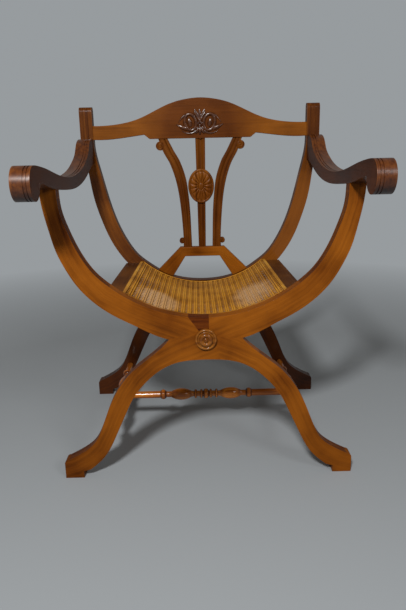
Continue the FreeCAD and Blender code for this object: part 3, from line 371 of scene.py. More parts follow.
# Painted shade: the sides and the undersides of the arms are darkened by the way they face, and the sides get
# less coat.
side_shade = ramp(tree, calculate(tree, "ABSOLUTE", faced["X"]), (0.6, (0,)), (0.95, (0.85,)))
upward = calculate(tree, "MULTIPLY_ADD", faced["Z"], 0.5, 0.5)
under_shade = ramp(tree, upward, (0.12, (0.9,)), (0.5, (0.1,)), (0.6, (0,)))
tinted(arm_oak, side_shade, (0.42, 0.32, 0.36))
tinted(arm_oak, under_shade, (0.26, 0.18, 0.2))
shader = tree.nodes["Principled BSDF"]
tree.links.new(calculate(tree, "MULTIPLY_ADD", side_shade, -1.1, 0.96), shader.inputs["Coat Weight"])
shader.inputs["Coat Roughness"].default_value = 0.3
for side in ("left", "right"):
    low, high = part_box(f"{side}_arm")
    arm = merged_copy(f"{side}_arm")

    def arm_edge(middle, edge):
        on_wall = lies_on(middle.x, low[0], high[0]) and lies_on(edge.verts[0].co.x, edge.verts[1].co.x)
        return on_wall and middle.y < high[1] - 0.001

    ease(arm, 0.0028, arm_edge)
    finish_wood(f"{side}_scroll_arm", arm, arm_oak, along_axis("Y"), [f"{side}_arm"])

# Crest rail. An arched board is tenoned between the ears, stepped on its underside where the splat meets it.
# Old wax has darkened it round the carving. Its front is made whole here, and the carving laid over it below.
back_oak = polished_wood(
    "back_oak", (0.066, 0.0175, 0.0015), (0.122, 0.036, 0.003), (0.178, 0.059, 0.006), 0.26
)
crest_face, crest_thickness, crest_reach = 0.30375, 0.02, 0.29
crest = merged_copy("crest_rail")
carved_faces = [
    face for face in crest.faces if max(corner.co.y for corner in face.verts) < crest_face + 0.0001
]
bmesh.ops.delete(crest, geom=carved_faces, context="FACES")
for edge in [edge for edge in crest.edges if not edge.link_faces]:
    crest.edges.remove(edge)
for corner in [corner for corner in crest.verts if not corner.link_faces]:
    crest.verts.remove(corner)
rims = [edge for edge in crest.edges if len(edge.link_faces) == 1]
bmesh.ops.holes_fill(crest, edges=rims, sides=0)
bmesh.ops.recalc_face_normals(crest, faces=crest.faces)
crest_edge = on_board_edge((crest_face, crest_face + crest_thickness))
ease(crest, 0.0022, lambda middle, edge: crest_edge(middle, edge) and abs(middle.x) < crest_reach)
crest_oak = polished_wood(
    "crest_oak", (0.064, 0.0165, 0.0015), (0.122, 0.036, 0.0025), (0.178, 0.058, 0.006), 0.28
)


def soft_spot(tree, stretch, shift=(0, 0, 0)):
    """A spot that fades outwards, over places on the piece that are stretched and then shifted."""
    place = add_node(tree, "ShaderNodeTexCoord").outputs["Object"]
    inputs = {"Vector": place, "Location": shift, "Scale": stretch}
    spread = add_node(tree, "ShaderNodeMapping", inputs).outputs["Vector"]
    spot = add_node(tree, "ShaderNodeTexGradient", {"Vector": spread}, gradient_type="SPHERICAL")
    return spot.outputs["Fac"]


tree = crest_oak.node_tree
wax = ramp(tree, soft_spot(tree, (5.5, 0.5, 6), (0, 0, -4.7)), (0.0, (0,)), (0.5, (0.85,)))
tinted(crest_oak, wax, (0.46, 0.37, 0.45))
finish_wood("arched_crest_rail", crest, crest_oak, along_axis("X"), ["crest_rail"])

# Crest carving. In the middle of the rail two oval scrolls, leaves and a small shell are cut in low relief,
# dark and glossy with wax. The relief is laid out in millimetres from its middle.
carving_middle = (0.0, 0.788)
carving_sunk, carving_backing = 0.0003, 0.002
half_across, half_up, carving_pitch = 67, 39, 0.7
columns = int(2 * half_across / carving_pitch) + 1
rows = int(2 * half_up / carving_pitch) + 1
across, up = numpy.meshgrid(
    numpy.linspace(-half_across, half_across, columns), numpy.linspace(-half_up, half_up, rows)
)
relief = numpy.zeros_like(across)


def carve_dome(centre, halves, lean, height):
    """Raises a leaning oval dome."""
    turn = math.radians(lean)
    x, z = across - centre[0], up - centre[1]
    along = (x * math.cos(turn) + z * math.sin(turn)) / halves[0]
    beside = (z * math.cos(turn) - x * math.sin(turn)) / halves[1]
    inside = numpy.clip(1 - along**2 - beside**2, 0, None)
    numpy.maximum(relief, height * inside**0.5, out=relief)


def carve_stroke(points, widths, height):
    """Raises a rounded ridge along a smooth line of points, with half widths spaced evenly along it."""
    points = numpy.array(points, float)
    spacing = numpy.linspace(0, 1, len(points))
    dense = numpy.linspace(0, 1, 12 * len(points))
    power = len(points) - 1
    x_line = numpy.polyval(numpy.polyfit(spacing, points[:, 0], power), dense)
    z_line = numpy.polyval(numpy.polyfit(spacing, points[:, 1], power), dense)
    half_widths = numpy.interp(dense, numpy.linspace(0, 1, len(widths)), widths)
    for x, z, half in zip(x_line, z_line, half_widths):
        carve_dome((x, z), (half, half), 0, height * (half / max(widths)) ** 0.6)


def carve_ring(centre, halves, lean, half_width, height):
    """Raises a rounded ridge round a leaning oval."""
    turn = math.radians(lean)
    for angle in numpy.linspace(0, 2 * math.pi, 90):
        x, z = halves[0] * math.cos(angle), halves[1] * math.sin(angle)
        place = (
            centre[0] + x * math.cos(turn) - z * math.sin(turn),
            centre[1] + x * math.sin(turn) + z * math.cos(turn),
        )
        carve_dome(place, (half_width, half_width), 0, height)


for hand in (-1, 1):
    carve_ring((hand * 25.5, 2), (15, 21), -hand * 14, 4.8, 5.0)
    carve_dome((hand * 27.5, 1.5), (6.6, 13), -hand * 14, 4.6)
    for line, widths, height in (
        (((36, -14), (45, -12), (54, -8), (64, -4)), (6.4, 5.6, 0.9), 5.0),
        (((36, 23), (44, 17), (52, 9), (58, 1)), (2.8, 3.2, 0.8), 2.4),
        (((15, 27), (7, 16), (1, 6), (-9, -6)), (2.0, 3.8, 2.6), 3.6),
        (((12, -22), (24, -27), (38, -26), (50, -18)), (3.6, 2.8, 0.7), 2.8),
        (((0, 10), (8, 22), (12, 30), (13, 36)), (4.4, 4.6, 0.9), 1.7),
    ):
        carve_stroke([(hand * x, z) for x, z in line], widths, height)
carve_stroke([(0, 9), (0, 20), (0, 29), (0, 36)], (3.4, 4.2, 0.9), 2.0)
carve_dome((0, -6), (5, 4.5), 0, 4.4)
for lobe in range(-2, 3):
    angle = math.radians(28 * lobe - 90)
    carve_dome((14.5 * math.cos(angle), 13 * math.sin(angle) - 8), (11, 4.2), math.degrees(angle), 4.4)
rim_distance = numpy.minimum(half_across - abs(across), half_up - abs(up))
relief *= numpy.clip(rim_distance / 2, 0, 1)
carving = bmesh.new()
grid = []
for row in range(rows):
    line = []
    for column in range(columns):
        x = carving_middle[0] + across[row, column] / 1000
        y = crest_face + carving_sunk - relief[row, column] / 1000
        z = carving_middle[1] + up[row, column] / 1000
        line.append(carving.verts.new((x, y, z)))
    grid.append(line)
for near, far in zip(grid, grid[1:]):
    for column in range(columns - 1):
        carving.faces.new((near[column], near[column + 1], far[column + 1], far[column]))
rim = grid[0] + [line[-1] for line in grid[1:]] + grid[-1][-2::-1] + [line[0] for line in grid[-2:0:-1]]
back_rim = [carving.verts.new((corner.co.x, crest_face + carving_backing, corner.co.z)) for corner in rim]
for index in range(len(rim)):
    following = (index + 1) % len(rim)
    carving.faces.new((rim[index], back_rim[index], back_rim[following], rim[following]))
carving.faces.new(back_rim[::-1])
bmesh.ops.recalc_face_normals(carving, faces=carving.faces)
carved_oak = polished_wood(
    "carved_oak", (0.034, 0.009, 0.002), (0.07, 0.02, 0.003), (0.11, 0.034, 0.006), 0.26, gloss=0.9
)
carved_oak.node_tree.nodes["Principled BSDF"].inputs["Coat Roughness"].default_value = 0.22
finish_wood("crest_carving", carving, carved_oak, along_axis("X"), [], longest=0.2)

# Splat. Three upright ribs are tenoned between the crest rail and the bridge. The outer two sweep outwards at
# the top, are cut with a groove along their length, and end in small scrolls. Their lines are given as shares
# of the splat's spread and rise.
rib_face, rib_depth = 0.30675, 0.012
splat_foot, splat_rise, splat_spread = 0.449, 0.3, 0.1
inner_line = [
    (0.294, -0.01), (0.294, 0), (0.304, 0.137), (0.32, 0.32), (0.352, 0.47), (0.42, 0.64),
    (0.572, 0.795), (0.732, 0.89), (0.897, 1), (0.91, 1.008),
]
outer_line = [
    (0.536, -0.01), (0.536, 0), (0.536, 0.12), (0.577, 0.344), (0.634, 0.512), (0.722, 0.652),
    (0.856, 0.78), (1.02, 0.88), (1.15, 1), (1.165, 1.008),
]


def smooth_line(points, count):
    """Evenly spaced places along a smooth line through the points."""
    points = numpy.array(points, float)
    steps = numpy.linalg.norm(numpy.diff(points, axis=0), axis=1)
    reached = numpy.concatenate(([0], numpy.cumsum(steps)))
    curve = []
    for place in numpy.linspace(0, reached[-1], count):
        index = min(max(numpy.searchsorted(reached, place) - 1, 0), len(points) - 2)
        before, after = max(index - 1, 0), min(index + 2, len(points) - 1)
        span = reached[index + 1] - reached[index]
        share = (place - reached[index]) / span
        start_pull = (points[index + 1] - points[before]) / (reached[index + 1] - reached[before]) * span
        end_pull = (points[after] - points[index]) / (reached[after] - reached[index]) * span
        curve.append(
            (2 * share**3 - 3 * share**2 + 1) * points[index]
            + (share**3 - 2 * share**2 + share) * start_pull
            + (3 * share**2 - 2 * share**3) * points[index + 1]
            + (share**3 - share**2) * end_pull
        )
    return numpy.array(curve)


def moulded_rib(inner, outer, section, face, depth):
    """A rib between two side lines, whose front follows a section of (share across, depth) points."""
    rib = bmesh.new()
    worn = rib.verts.layers.float.new("worn")
    rings = []
    for near, far in zip(inner, outer):
        ring = []
        for share, sunk in section:
            x, z = near + share * (far - near)
            ring.append(rib.verts.new((x, face + sunk, z)))
        for share in (1.0, 0.0):
            x, z = near + share * (far - near)
            ring.append(rib.verts.new((x, face + depth, z)))
        rings.append(ring)
    for below, above in zip(rings, rings[1:]):
        for index in range(len(below)):
            following = (index + 1) % len(below)
            rib.faces.new((below[index], below[following], above[following], above[index]))
    rib.faces.new(rings[0])
    rib.faces.new(rings[-1][::-1])
    bmesh.ops.recalc_face_normals(rib, faces=rib.faces)
    for ring in rings:
        for corner in (ring[0], ring[1], ring[len(section) - 1], ring[len(section) - 2]):
            corner[worn] = 1.0
    return rib


def grooved_section(grooves):
    """A flat front with eased corners and round grooves, each at a share of the width."""
    points = [(0.0, 0.0022), (0.025, 0.0009), (0.08, 0.0001)]
    for groove in grooves:
        for offset, sunk in ((-0.085, 0.0), (-0.06, 0.0006), (0.0, 0.0019), (0.06, 0.0006), (0.085, 0.0)):
            points.append((groove + offset, sunk))
    return points + [(0.92, 0.0001), (0.975, 0.0009), (1.0, 0.0022)]


def scroll_button(centre, radius, face, depth, hand):
    """A round end with a spiral cut into its front."""
    button = bmesh.new()
    rings, spokes = 14, 40
    raised, spiral_turns, spiral_depth, rounded = 0.0012, 1.9, 0.0014, 0.0016
    middle = button.verts.new((centre[0], face - raised, centre[1]))
    last = None
    for ring in range(1, rings + 1):
        share = ring / rings
        loop = []
        for spoke in range(spokes):
            angle = hand * 2 * math.pi * spoke / spokes
            turn = (share * spiral_turns - spoke / spokes) % 1.0
            sunk = spiral_depth * max(0.0, 1 - abs(turn - 0.5) / 0.24) ** 0.7 * min(1.0, (1 - share) * 6)
            rounding = rounded * max(0.0, share - 0.8) / 0.2
            loop.append(button.verts.new((
                centre[0] + radius * share * math.cos(angle),
                face - raised + sunk + rounding,
                centre[1] + radius * share * math.sin(angle),
            )))
        for spoke in range(spokes):
            following = (spoke + 1) % spokes
            if last is None:
                button.faces.new((middle, loop[spoke], loop[following]))
            else:
                button.faces.new((last[spoke], loop[spoke], loop[following], last[following]))
        last = loop
    back = [button.verts.new((corner.co.x, face + depth, corner.co.z)) for corner in last]
    for spoke in range(spokes):
        following = (spoke + 1) % spokes
        button.faces.new((last[spoke], back[spoke], back[following], last[following]))
    button.faces.new(back)
    bmesh.ops.recalc_face_normals(button, faces=button.faces)
    return button


for side, hand in (("left", -1), ("right", 1)):

    def on_splat(points):
        return [(hand * splat_spread * x, splat_foot + splat_rise * z) for x, z in points]

    inner, outer = smooth_line(on_splat(inner_line), 70), smooth_line(on_splat(outer_line), 70)
    rib = moulded_rib(inner, outer, grooved_section((0.36,)), rib_face, rib_depth)
    grain_line = along_line([tuple(place) for place in (inner[::6] + outer[::6]) / 2])
    name, nodes = f"splat_{side}_grooved_rib", [f"splat_{side}_rib"]
    finish_wood(name, rib, back_oak, grain_line, nodes, longest=0.03)
    for end, place, radius in (("top", (1.1, 0.935), 0.012), ("foot", (0.57, 0.06), 0.008)):
        button = scroll_button(on_splat([place])[0], radius, rib_face, rib_depth, hand)
        name = f"splat_{side}_{end}_scroll"
        finish_wood(name, button, back_oak, along_axis("Z"), [], longest=0.03)
centre_side = smooth_line([(0.01, splat_foot - 0.003), (0.0135, splat_foot + splat_rise + 0.002)], 30)
centre_rib = moulded_rib(
    centre_side * (-1, 1), centre_side, grooved_section((0.32, 0.68)), rib_face, rib_depth
)
name, nodes = "splat_centre_grooved_rib", ["splat_centre_rib"]
finish_wood(name, centre_rib, back_oak, along_axis("Z"), nodes, longest=0.03)

# Patera. An oval rosette is carved from one block and glued to the middle rib: a rim, a ring of sixteen
# rounded petals with a gouged line between each, and a button in the middle.
patera_centre, patera_halves = (0.0, 0.62), (0.036, 0.047)
patera_back, patera_plate, petal_count = 0.30675, 0.004, 16
button_edge, petal_tips, rim_middle, rim_half = 0.2, 0.84, 0.92, 0.08
ground, button_foot, button_height, petal_height, rim_height = 0.0002, 0.0012, 0.0024, 0.0028, 0.0024
patera = bmesh.new()
loops = []
spokes, rings = petal_count * 14, 44
for ring in range(1, rings + 1):
    share = ring / rings
    loop = []
    for spoke in range(spokes):
        angle = 2 * math.pi * spoke / spokes
        petal = abs(math.cos(petal_count * angle / 2))
        if share < button_edge:
            raised = button_foot + button_height * math.sqrt(1 - (share / button_edge) ** 2)
        elif share < petal_tips:
            swell = math.sin(math.pi * min(1.0, (share - button_edge) / (petal_tips - button_edge))) ** 0.45
            raised = ground + petal_height * swell * petal**0.55
        else:
            raised = ground + rim_height * math.sqrt(max(0.0, 1 - ((share - rim_middle) / rim_half) ** 2))
        loop.append(patera.verts.new((
            patera_centre[0] + patera_halves[0] * share * math.cos(angle),
            patera_back - patera_plate - raised,
            patera_centre[1] + patera_halves[1] * share * math.sin(angle),
        )))
    loops.append(loop)
loops.append([patera.verts.new((corner.co.x, patera_back + 0.0005, corner.co.z)) for corner in loops[-1]])
for near, far in zip(loops, loops[1:]):
    for spoke in range(spokes):
        following = (spoke + 1) % spokes
        patera.faces.new((near[spoke], far[spoke], far[following], near[following]))
patera.faces.new(loops[0])
patera.faces.new(loops[-1])
bmesh.ops.recalc_face_normals(patera, faces=patera.faces)
patera_oak = polished_wood(
    "patera_oak", (0.095, 0.028, 0.002), (0.18, 0.058, 0.0055), (0.27, 0.096, 0.013), 0.24
)
nodes = ["splat_patera"]
finish_wood("splat_rosette", patera, patera_oak, along_axis("Z"), nodes, longest=0.03)

# Bridge. A short rail carries the splat on two splayed legs that are cut to the curve of the rear bowl and
# dowelled down to it.
# The bridge's oak darkens towards the floor on its legs, as painted shade.
bridge_oak = polished_wood(
    "bridge_oak", (0.125, 0.034, 0.0015), (0.215, 0.064, 0.003), (0.28, 0.093, 0.007), 0.28,
    darker_below=(0.32, 0.44),
)
bridge = merged_copy("splat_bridge")
ease(bridge, 0.0018, on_board_edge([corner[1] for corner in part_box("splat_bridge")]))
bridge_line = [(-0.17, 0.33), (-0.123, 0.366), (-0.055, 0.436), (0.055, 0.436), (0.123, 0.366), (0.17, 0.33)]
finish_wood("splayed_bridge", bridge, bridge_oak, along_line(bridge_line), ["splat_bridge"])

# Seat rails and slips. A broad flat rail on each side is dowelled between the two frames, worn dull by hands
# and clothes, and a thin curved slip under each end of the cane follows the bowls.
seat_oak = polished_wood(
    "seat_oak", (0.038, 0.012, 0.003), (0.074, 0.0245, 0.005), (0.112, 0.04, 0.009), 0.36
)
slip_oak = polished_wood(
    "slip_oak", (0.035, 0.012, 0.005), (0.075, 0.026, 0.009), (0.12, 0.045, 0.016), 0.38
)
rail_length = 0.2
for side in ("left", "right"):
    rail = merged_copy(f"{side}_seat_rail")
    ease(rail, 0.0016, lambda middle, edge: abs(edge.verts[0].co.y - edge.verts[1].co.y) > rail_length)
    finish_wood(f"{side}_flat_seat_rail", rail, seat_oak, along_axis("Y"), [f"{side}_seat_rail"])
for end in ("front", "rear"):
    slip = merged_copy(f"{end}_seat_slip")
    finish_wood(f"{end}_curved_slip", slip, slip_oak, along_axis("X"), [f"{end}_seat_slip"])

# Cane seat. Strips of rattan skin are laid front to back in close pairs that stand up as ribs, over strips that
# run across, with two sets of slanting strips between. They hang between the rails in a hollow, and two patches
# beside the middle are rubbed pale.
seat_half, seat_lap = 0.169, 0.011
seat_front, seat_back = -0.12575, 0.29575
rib_count = 24
rib_pitch, cross_pitch = 2 * seat_half / rib_count, seat_half / rib_count


def rattan(name, dark, body, pale):
    """Glossy rattan skin, golden, with lengthwise lines, darker nodes and patches rubbed pale by use."""
    material, tree, shader = new_material(name)
    place = add_node(tree, "ShaderNodeTexCoord").outputs["Object"]
    patches, lines, nodes = (
        noise(tree, place, stretch) for stretch in ((11, 11, 11), (1500, 30, 800), (160, 22, 60))
    )
    colour = ramp(tree, patches, (0.3, dark), (0.52, body), (0.8, pale))
    line_colour = ramp(tree, lines, (0.3, (0.72, 0.66, 0.58)), (0.6, (1.05, 1.04, 1.02)))
    colour = mixed(tree, 0.5, colour, line_colour, "MULTIPLY")
    node_colour = ramp(tree, nodes, (0.3, (0.55, 0.42, 0.3)), (0.42, (1, 1, 1)))
    colour = mixed(tree, 0.35, colour, node_colour, "MULTIPLY")
    for middle, spread in (((-0.105, -0.05, 0.39), (15, 8, 8)), ((0.112, -0.005, 0.39), (15, 7, 8))):
        shift = tuple(-where * scale for where, scale in zip(middle, spread))
        worn_patch = calculate(tree, "MULTIPLY", soft_spot(tree, spread, shift), patches)
        rubbed = ramp(tree, worn_patch, (0.08, (0,)), (0.26, (0.55,)))
        colour = mixed(tree, rubbed, colour, (0.6, 0.38, 0.2, 1))
    tree.links.new(colour, shader.inputs["Base Color"])
    bump = add_node(tree, "ShaderNodeBump", {"Strength": 0.4, "Distance": 0.0003, "Height": lines})
    tree.links.new(bump.outputs["Normal"], shader.inputs["Normal"])
    shader.inputs["Roughness"].default_value = 0.45
    shader.inputs["Specular IOR Level"].default_value = 0.12
    return material


rib_cane = rattan("rib_cane", (0.44, 0.18, 0.013), (0.6, 0.27, 0.022), (0.7, 0.35, 0.042))
# The strips under the ribs use a darker copy of the same rattan: partly dirt, partly painted shade between the
# ribs.
under_cane = rattan("under_cane", (0.2, 0.075, 0.007), (0.34, 0.138, 0.014), (0.44, 0.195, 0.026))

weave = bpy.data.node_groups.new("cane_strips", "GeometryNodeTree")
strip_sizes = {
    "Int": ("Strips", "Points"),
    "Vector": ("First start", "Run", "Step"),
    "Float": (
        "Strip width", "Strip thickness", "Level", "Weave height", "Weave length", "Half width", "Front",
        "Back", "Front top", "Back top", "Front sag", "Back sag",
    ),
    "Material": ("Material",),
}
for kind, labels in strip_sizes.items():
    for label in labels:
        weave.interface.new_socket(label, in_out="INPUT", socket_type="NodeSocket" + kind)
weave.interface.new_socket("Strips woven", in_out="OUTPUT", socket_type="NodeSocketGeometry")
given = add_node(weave, "NodeGroupInput").outputs
row_sizes = {"Count": given["Strips"], "Start Location": given["First start"], "Offset": given["Step"]}
row = add_node(weave, "GeometryNodeMeshLine", row_sizes)
number = add_node(weave, "GeometryNodeInputIndex").outputs[0]
dots = add_node(weave, "GeometryNodeMeshToPoints", {"Mesh": row.outputs[0]})
kept = add_node(weave, "GeometryNodeCaptureAttribute", {"Geometry": dots.outputs[0]}, domain="POINT")
kept.capture_items.new("FLOAT", "Strip number")
weave.links.new(number, kept.inputs["Strip number"])
run = add_node(weave, "GeometryNodeCurvePrimitiveLine", {"Start": (0, 0, 0), "End": given["Run"]})
spaced = add_node(weave, "GeometryNodeResampleCurve", {"Curve": run.outputs[0], "Count": given["Points"]})
laid = add_node(
    weave, "GeometryNodeInstanceOnPoints", {"Points": kept.outputs["Geometry"], "Instance": spaced.outputs[0]}
)
real = add_node(weave, "GeometryNodeRealizeInstances", {"Geometry": laid.outputs[0]})
where = add_node(weave, "GeometryNodeInputPosition").outputs[0]
split = add_node(weave, "ShaderNodeSeparateXYZ", {0: where}).outputs
length = calculate(weave, "SUBTRACT", given["Back"], given["Front"])
depth_share = calculate(weave, "DIVIDE", calculate(weave, "SUBTRACT", split["Y"], given["Front"]), length)
sag_growth = calculate(weave, "SUBTRACT", given["Back sag"], given["Front sag"])
sag = calculate(weave, "MULTIPLY_ADD", depth_share, sag_growth, given["Front sag"])
top_growth = calculate(weave, "SUBTRACT", given["Back top"], given["Front top"])
top = calculate(weave, "MULTIPLY_ADD", depth_share, top_growth, given["Front top"])
half_squared = calculate(weave, "MULTIPLY", given["Half width"], given["Half width"])
chord_and_sag = calculate(weave, "MULTIPLY_ADD", sag, sag, half_squared)
radius = calculate(weave, "DIVIDE", chord_and_sag, calculate(weave, "MULTIPLY", sag, 2.0))
beside = calculate(weave, "ABSOLUTE", split["X"])
inside = calculate(weave, "MINIMUM", beside, given["Half width"])
radius_squared, inside_squared = (calculate(weave, "MULTIPLY", size, size) for size in (radius, inside))
centre_height = calculate(weave, "SQRT", calculate(weave, "SUBTRACT", radius_squared, inside_squared))
rise = calculate(weave, "SUBTRACT", radius, centre_height)
dish = calculate(weave, "ADD", calculate(weave, "SUBTRACT", top, sag), rise)
travelled = add_node(weave, "GeometryNodeSplineParameter").outputs["Length"]
turns = calculate(weave, "DIVIDE", travelled, given["Weave length"])
shifted_turns = calculate(weave, "MULTIPLY_ADD", kept.outputs["Strip number"], 0.5, turns)
wave = calculate(weave, "SINE", calculate(weave, "MULTIPLY", shifted_turns, 2 * math.pi))
lift = calculate(weave, "MULTIPLY_ADD", wave, given["Weave height"], given["Level"])
height = add_node(weave, "ShaderNodeCombineXYZ", {"Z": calculate(weave, "ADD", dish, lift)}).outputs[0]
shaped = add_node(weave, "GeometryNodeSetPosition", {"Geometry": real.outputs[0], "Offset": height})
lapped_half = calculate(weave, "ADD", given["Half width"], seat_lap)
past_sides = calculate(weave, "GREATER_THAN", beside, lapped_half)
past_front = calculate(weave, "LESS_THAN", split["Y"], given["Front"])
past_back = calculate(weave, "GREATER_THAN", split["Y"], given["Back"])
outside = calculate(weave, "ADD", calculate(weave, "ADD", past_sides, past_front), past_back)
cut_off = {"Geometry": shaped.outputs[0], "Selection": outside}
trimmed = add_node(weave, "GeometryNodeDeleteGeometry", cut_off, domain="POINT")
flat = add_node(weave, "GeometryNodeSetCurveNormal", {"Curve": trimmed.outputs[0]}, mode="Z_UP")
circle = add_node(weave, "GeometryNodeCurvePrimitiveCircle", {"Resolution": 6, "Radius": 0.5})
strip_sides = {"X": given["Strip width"], "Y": given["Strip thickness"], "Z": 1.0}
strip_scale = add_node(weave, "ShaderNodeCombineXYZ", strip_sides)
strip_section = add_node(
    weave, "GeometryNodeTransform", {"Geometry": circle.outputs[0], "Scale": strip_scale.outputs[0]}
)
swept = {"Curve": flat.outputs[0], "Profile Curve": strip_section.outputs[0], "Fill Caps": True}
strips = add_node(weave, "GeometryNodeCurveToMesh", swept)
smooth = add_node(weave, "GeometryNodeSetShadeSmooth", {"Geometry": strips.outputs[0]})
whole = add_node(weave, "GeometryNodeRealizeInstances", {"Geometry": smooth.outputs[0]})
paint = {"Geometry": whole.outputs[0], "Material": given["Material"]}
coloured = add_node(weave, "GeometryNodeSetMaterial", paint)
add_node(weave, "NodeGroupOutput", {0: coloured.outputs[0]})


def woven(name, tree, slot, nodes, **sizes):
    """Runs a tree with these sizes and keeps its result as a plain mesh that rides on the chair."""
    holder = bpy.data.objects.new(name + "_pattern", bpy.data.meshes.new(name + "_pattern"))
    bpy.context.scene.collection.objects.link(holder)
    pattern = holder.modifiers.new("pattern", "NODES")
    pattern.node_group = tree
    names = {item.name: item.identifier for item in tree.interface.items_tree if item.in_out == "INPUT"}
    for label, value in sizes.items():
        pattern[names[label.replace("_", " ").capitalize()]] = value
    made = holder.evaluated_get(bpy.context.evaluated_depsgraph_get())
    piece = bpy.data.objects.new(name, bpy.data.meshes.new_from_object(made))
    bpy.data.objects.remove(holder)
    bpy.context.scene.collection.objects.link(piece)
    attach(piece, "root")
    if nodes:
        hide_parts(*nodes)
    return piece


dish_sizes = {
    "half_width": seat_half, "front": seat_front, "back": seat_back, "front_top": 0.421, "back_top": 0.41,
    "front_sag": 0.051, "back_sag": 0.062,
}
seat_length, seat_width = seat_back - seat_front, 2 * (seat_half + seat_lap)
pair_gap = 0.0042
for number_in_pair, offset in enumerate((-pair_gap / 2, pair_gap / 2)):
    first = offset - (rib_count - 1) / 2 * rib_pitch
    woven(
        f"cane_ribs_{number_in_pair}", weave, "cane", ["cane_seat"] if number_in_pair == 0 else [],
        strips=rib_count, first_start=(first, seat_front, 0), run=(0, seat_length, 0),
        step=(rib_pitch, 0, 0), points=121, strip_width=0.0042, strip_thickness=0.002, level=0.0,
        weave_height=0.0002, weave_length=2 * rib_pitch, material=rib_cane, **dish_sizes,
    )
woven(
    "cane_cross_strips", weave, "cane", [],
    strips=59, first_start=(-seat_half - seat_lap, seat_front + 0.006, 0), run=(seat_width, 0, 0),
    step=(0, cross_pitch, 0), points=105, strip_width=0.0034, strip_thickness=0.0013, level=-0.0009,
    weave_height=0.0005, weave_length=rib_pitch, material=under_cane, **dish_sizes,
)
for lean, label, level in ((1, "right", -0.002), (-1, "left", -0.0014)):
    woven(
        f"cane_slant_strips_{label}", weave, "cane", [],
        strips=55, first_start=(-lean * (seat_half + seat_lap), seat_front - seat_width, 0),
        run=(lean * seat_width, seat_width, 0), step=(0, rib_pitch, 0), points=105, strip_width=0.003,
        strip_thickness=0.0012, level=level, weave_height=0.0003, weave_length=2 * rib_pitch,
        material=under_cane, **dish_sizes,
    )

# Cane border. A broader strip is laid over the row of holes on all four sides and tied down by a loop of fine
# cane at each hole.
hole_row, hole_size = 0.1735, 0.003
border_row, end_border_inset = 0.1745, 0.0035
tie_length, first_tie = 0.0074, 0.0065
binding_cane = rattan("binding_cane", (0.36, 0.15, 0.014), (0.52, 0.24, 0.026), (0.62, 0.33, 0.05))
tree = binding_cane.node_tree
# Painted shade: a near-black dot is painted at each hole along the side borders, standing in for the shade
# inside it.
place = add_node(tree, "ShaderNodeTexCoord").outputs["Object"]
split = add_node(tree, "ShaderNodeSeparateXYZ", {0: place}).outputs
along = calculate(tree, "WRAP", split["Y"], rib_pitch / 2, -rib_pitch / 2)
beside = calculate(tree, "SUBTRACT", calculate(tree, "ABSOLUTE", split["X"]), hole_row)
away_squared = calculate(tree, "MULTIPLY_ADD", along, along, calculate(tree, "MULTIPLY", beside, beside))
away = calculate(tree, "DIVIDE", calculate(tree, "SQRT", away_squared), hole_size)
shader = tree.nodes["Principled BSDF"]
plain = shader.inputs["Base Color"].links[0].from_socket
hole_shade_dots = mixed(tree, ramp(tree, away, (0.45, (1,)), (0.62, (0,))), plain, (0.02, 0.009, 0.003, 1))
tree.links.new(hole_shade_dots, shader.inputs["Base Color"])
for side, hand in (("left", -1), ("right", 1)):
    woven(
        f"{side}_cane_border", weave, "binding_cane", ["cane_binding"] if hand < 0 else [],
        strips=1, first_start=(hand * border_row, seat_front, 0), run=(0, seat_length, 0),
        step=(0.01, 0, 0), points=60, strip_width=0.0085, strip_thickness=0.0018, level=0.0006,
        weave_height=0.0, weave_length=1.0, material=binding_cane, **dish_sizes,
    )
    woven(
        f"{side}_border_ties", weave, "binding_cane", [],
        strips=30, first_start=(hand * border_row - tie_length / 2, seat_front + first_tie, 0),
        run=(tie_length, 0, 0), step=(0, rib_pitch, 0), points=5, strip_width=0.0022,
        strip_thickness=0.001, level=0.0014, weave_height=0.0, weave_length=1.0, material=binding_cane,
        **dish_sizes,
    )
for end, depth, material in (
    ("front", seat_front + end_border_inset, under_cane),
    ("rear", seat_back - end_border_inset, binding_cane),
):
    woven(
        f"{end}_cane_border", weave, "binding_cane", [],
        strips=1, first_start=(-seat_half, depth, 0), run=(2 * seat_half, 0, 0), step=(0, 0.01, 0),
        points=80, strip_width=0.006, strip_thickness=0.002, level=0.0014, weave_height=0.0,
        weave_length=1.0, material=material, **dish_sizes,
    )

# Stretchers. Two turned side rails join the feet front to back, and a longer one between them is turned with
# rings, swelling balusters and beads. All are reddish beech with a high polish, set lighter as painted light,
# and the flanks of their rings and grooves are darkened as painted shade.
for node, name, axis in (
    ("left_side_stretcher", "left_turned_rail", "Y"),
    ("right_side_stretcher", "right_turned_rail", "Y"),
    ("cross_stretcher", "turned_cross_rail", "X"),
):
    # Painted light: the base colours are set lighter than the oak's, partly the beech's own colour, partly
    # painted light.
    turned_beech = polished_wood(
        name + "_beech", (0.26, 0.066, 0.006), (0.5, 0.16, 0.016), (0.66, 0.25, 0.034), 0.16, gloss=0.7
    )
    tree = turned_beech.node_tree
    flank_shade = calculate(tree, "ABSOLUTE", facing(tree)[axis])
    # Painted shade: surfaces that face along the rail's axis, the flanks of rings and grooves, are darkened.
    tinted(turned_beech, ramp(tree, flank_shade, (0.32, (0,)), (0.62, (0.92,))), (0.16, 0.1, 0.12))
    turning = merged_copy(node)
    finish_wood(name, turning, turned_beech, along_axis(axis), [node], longest=0.01)

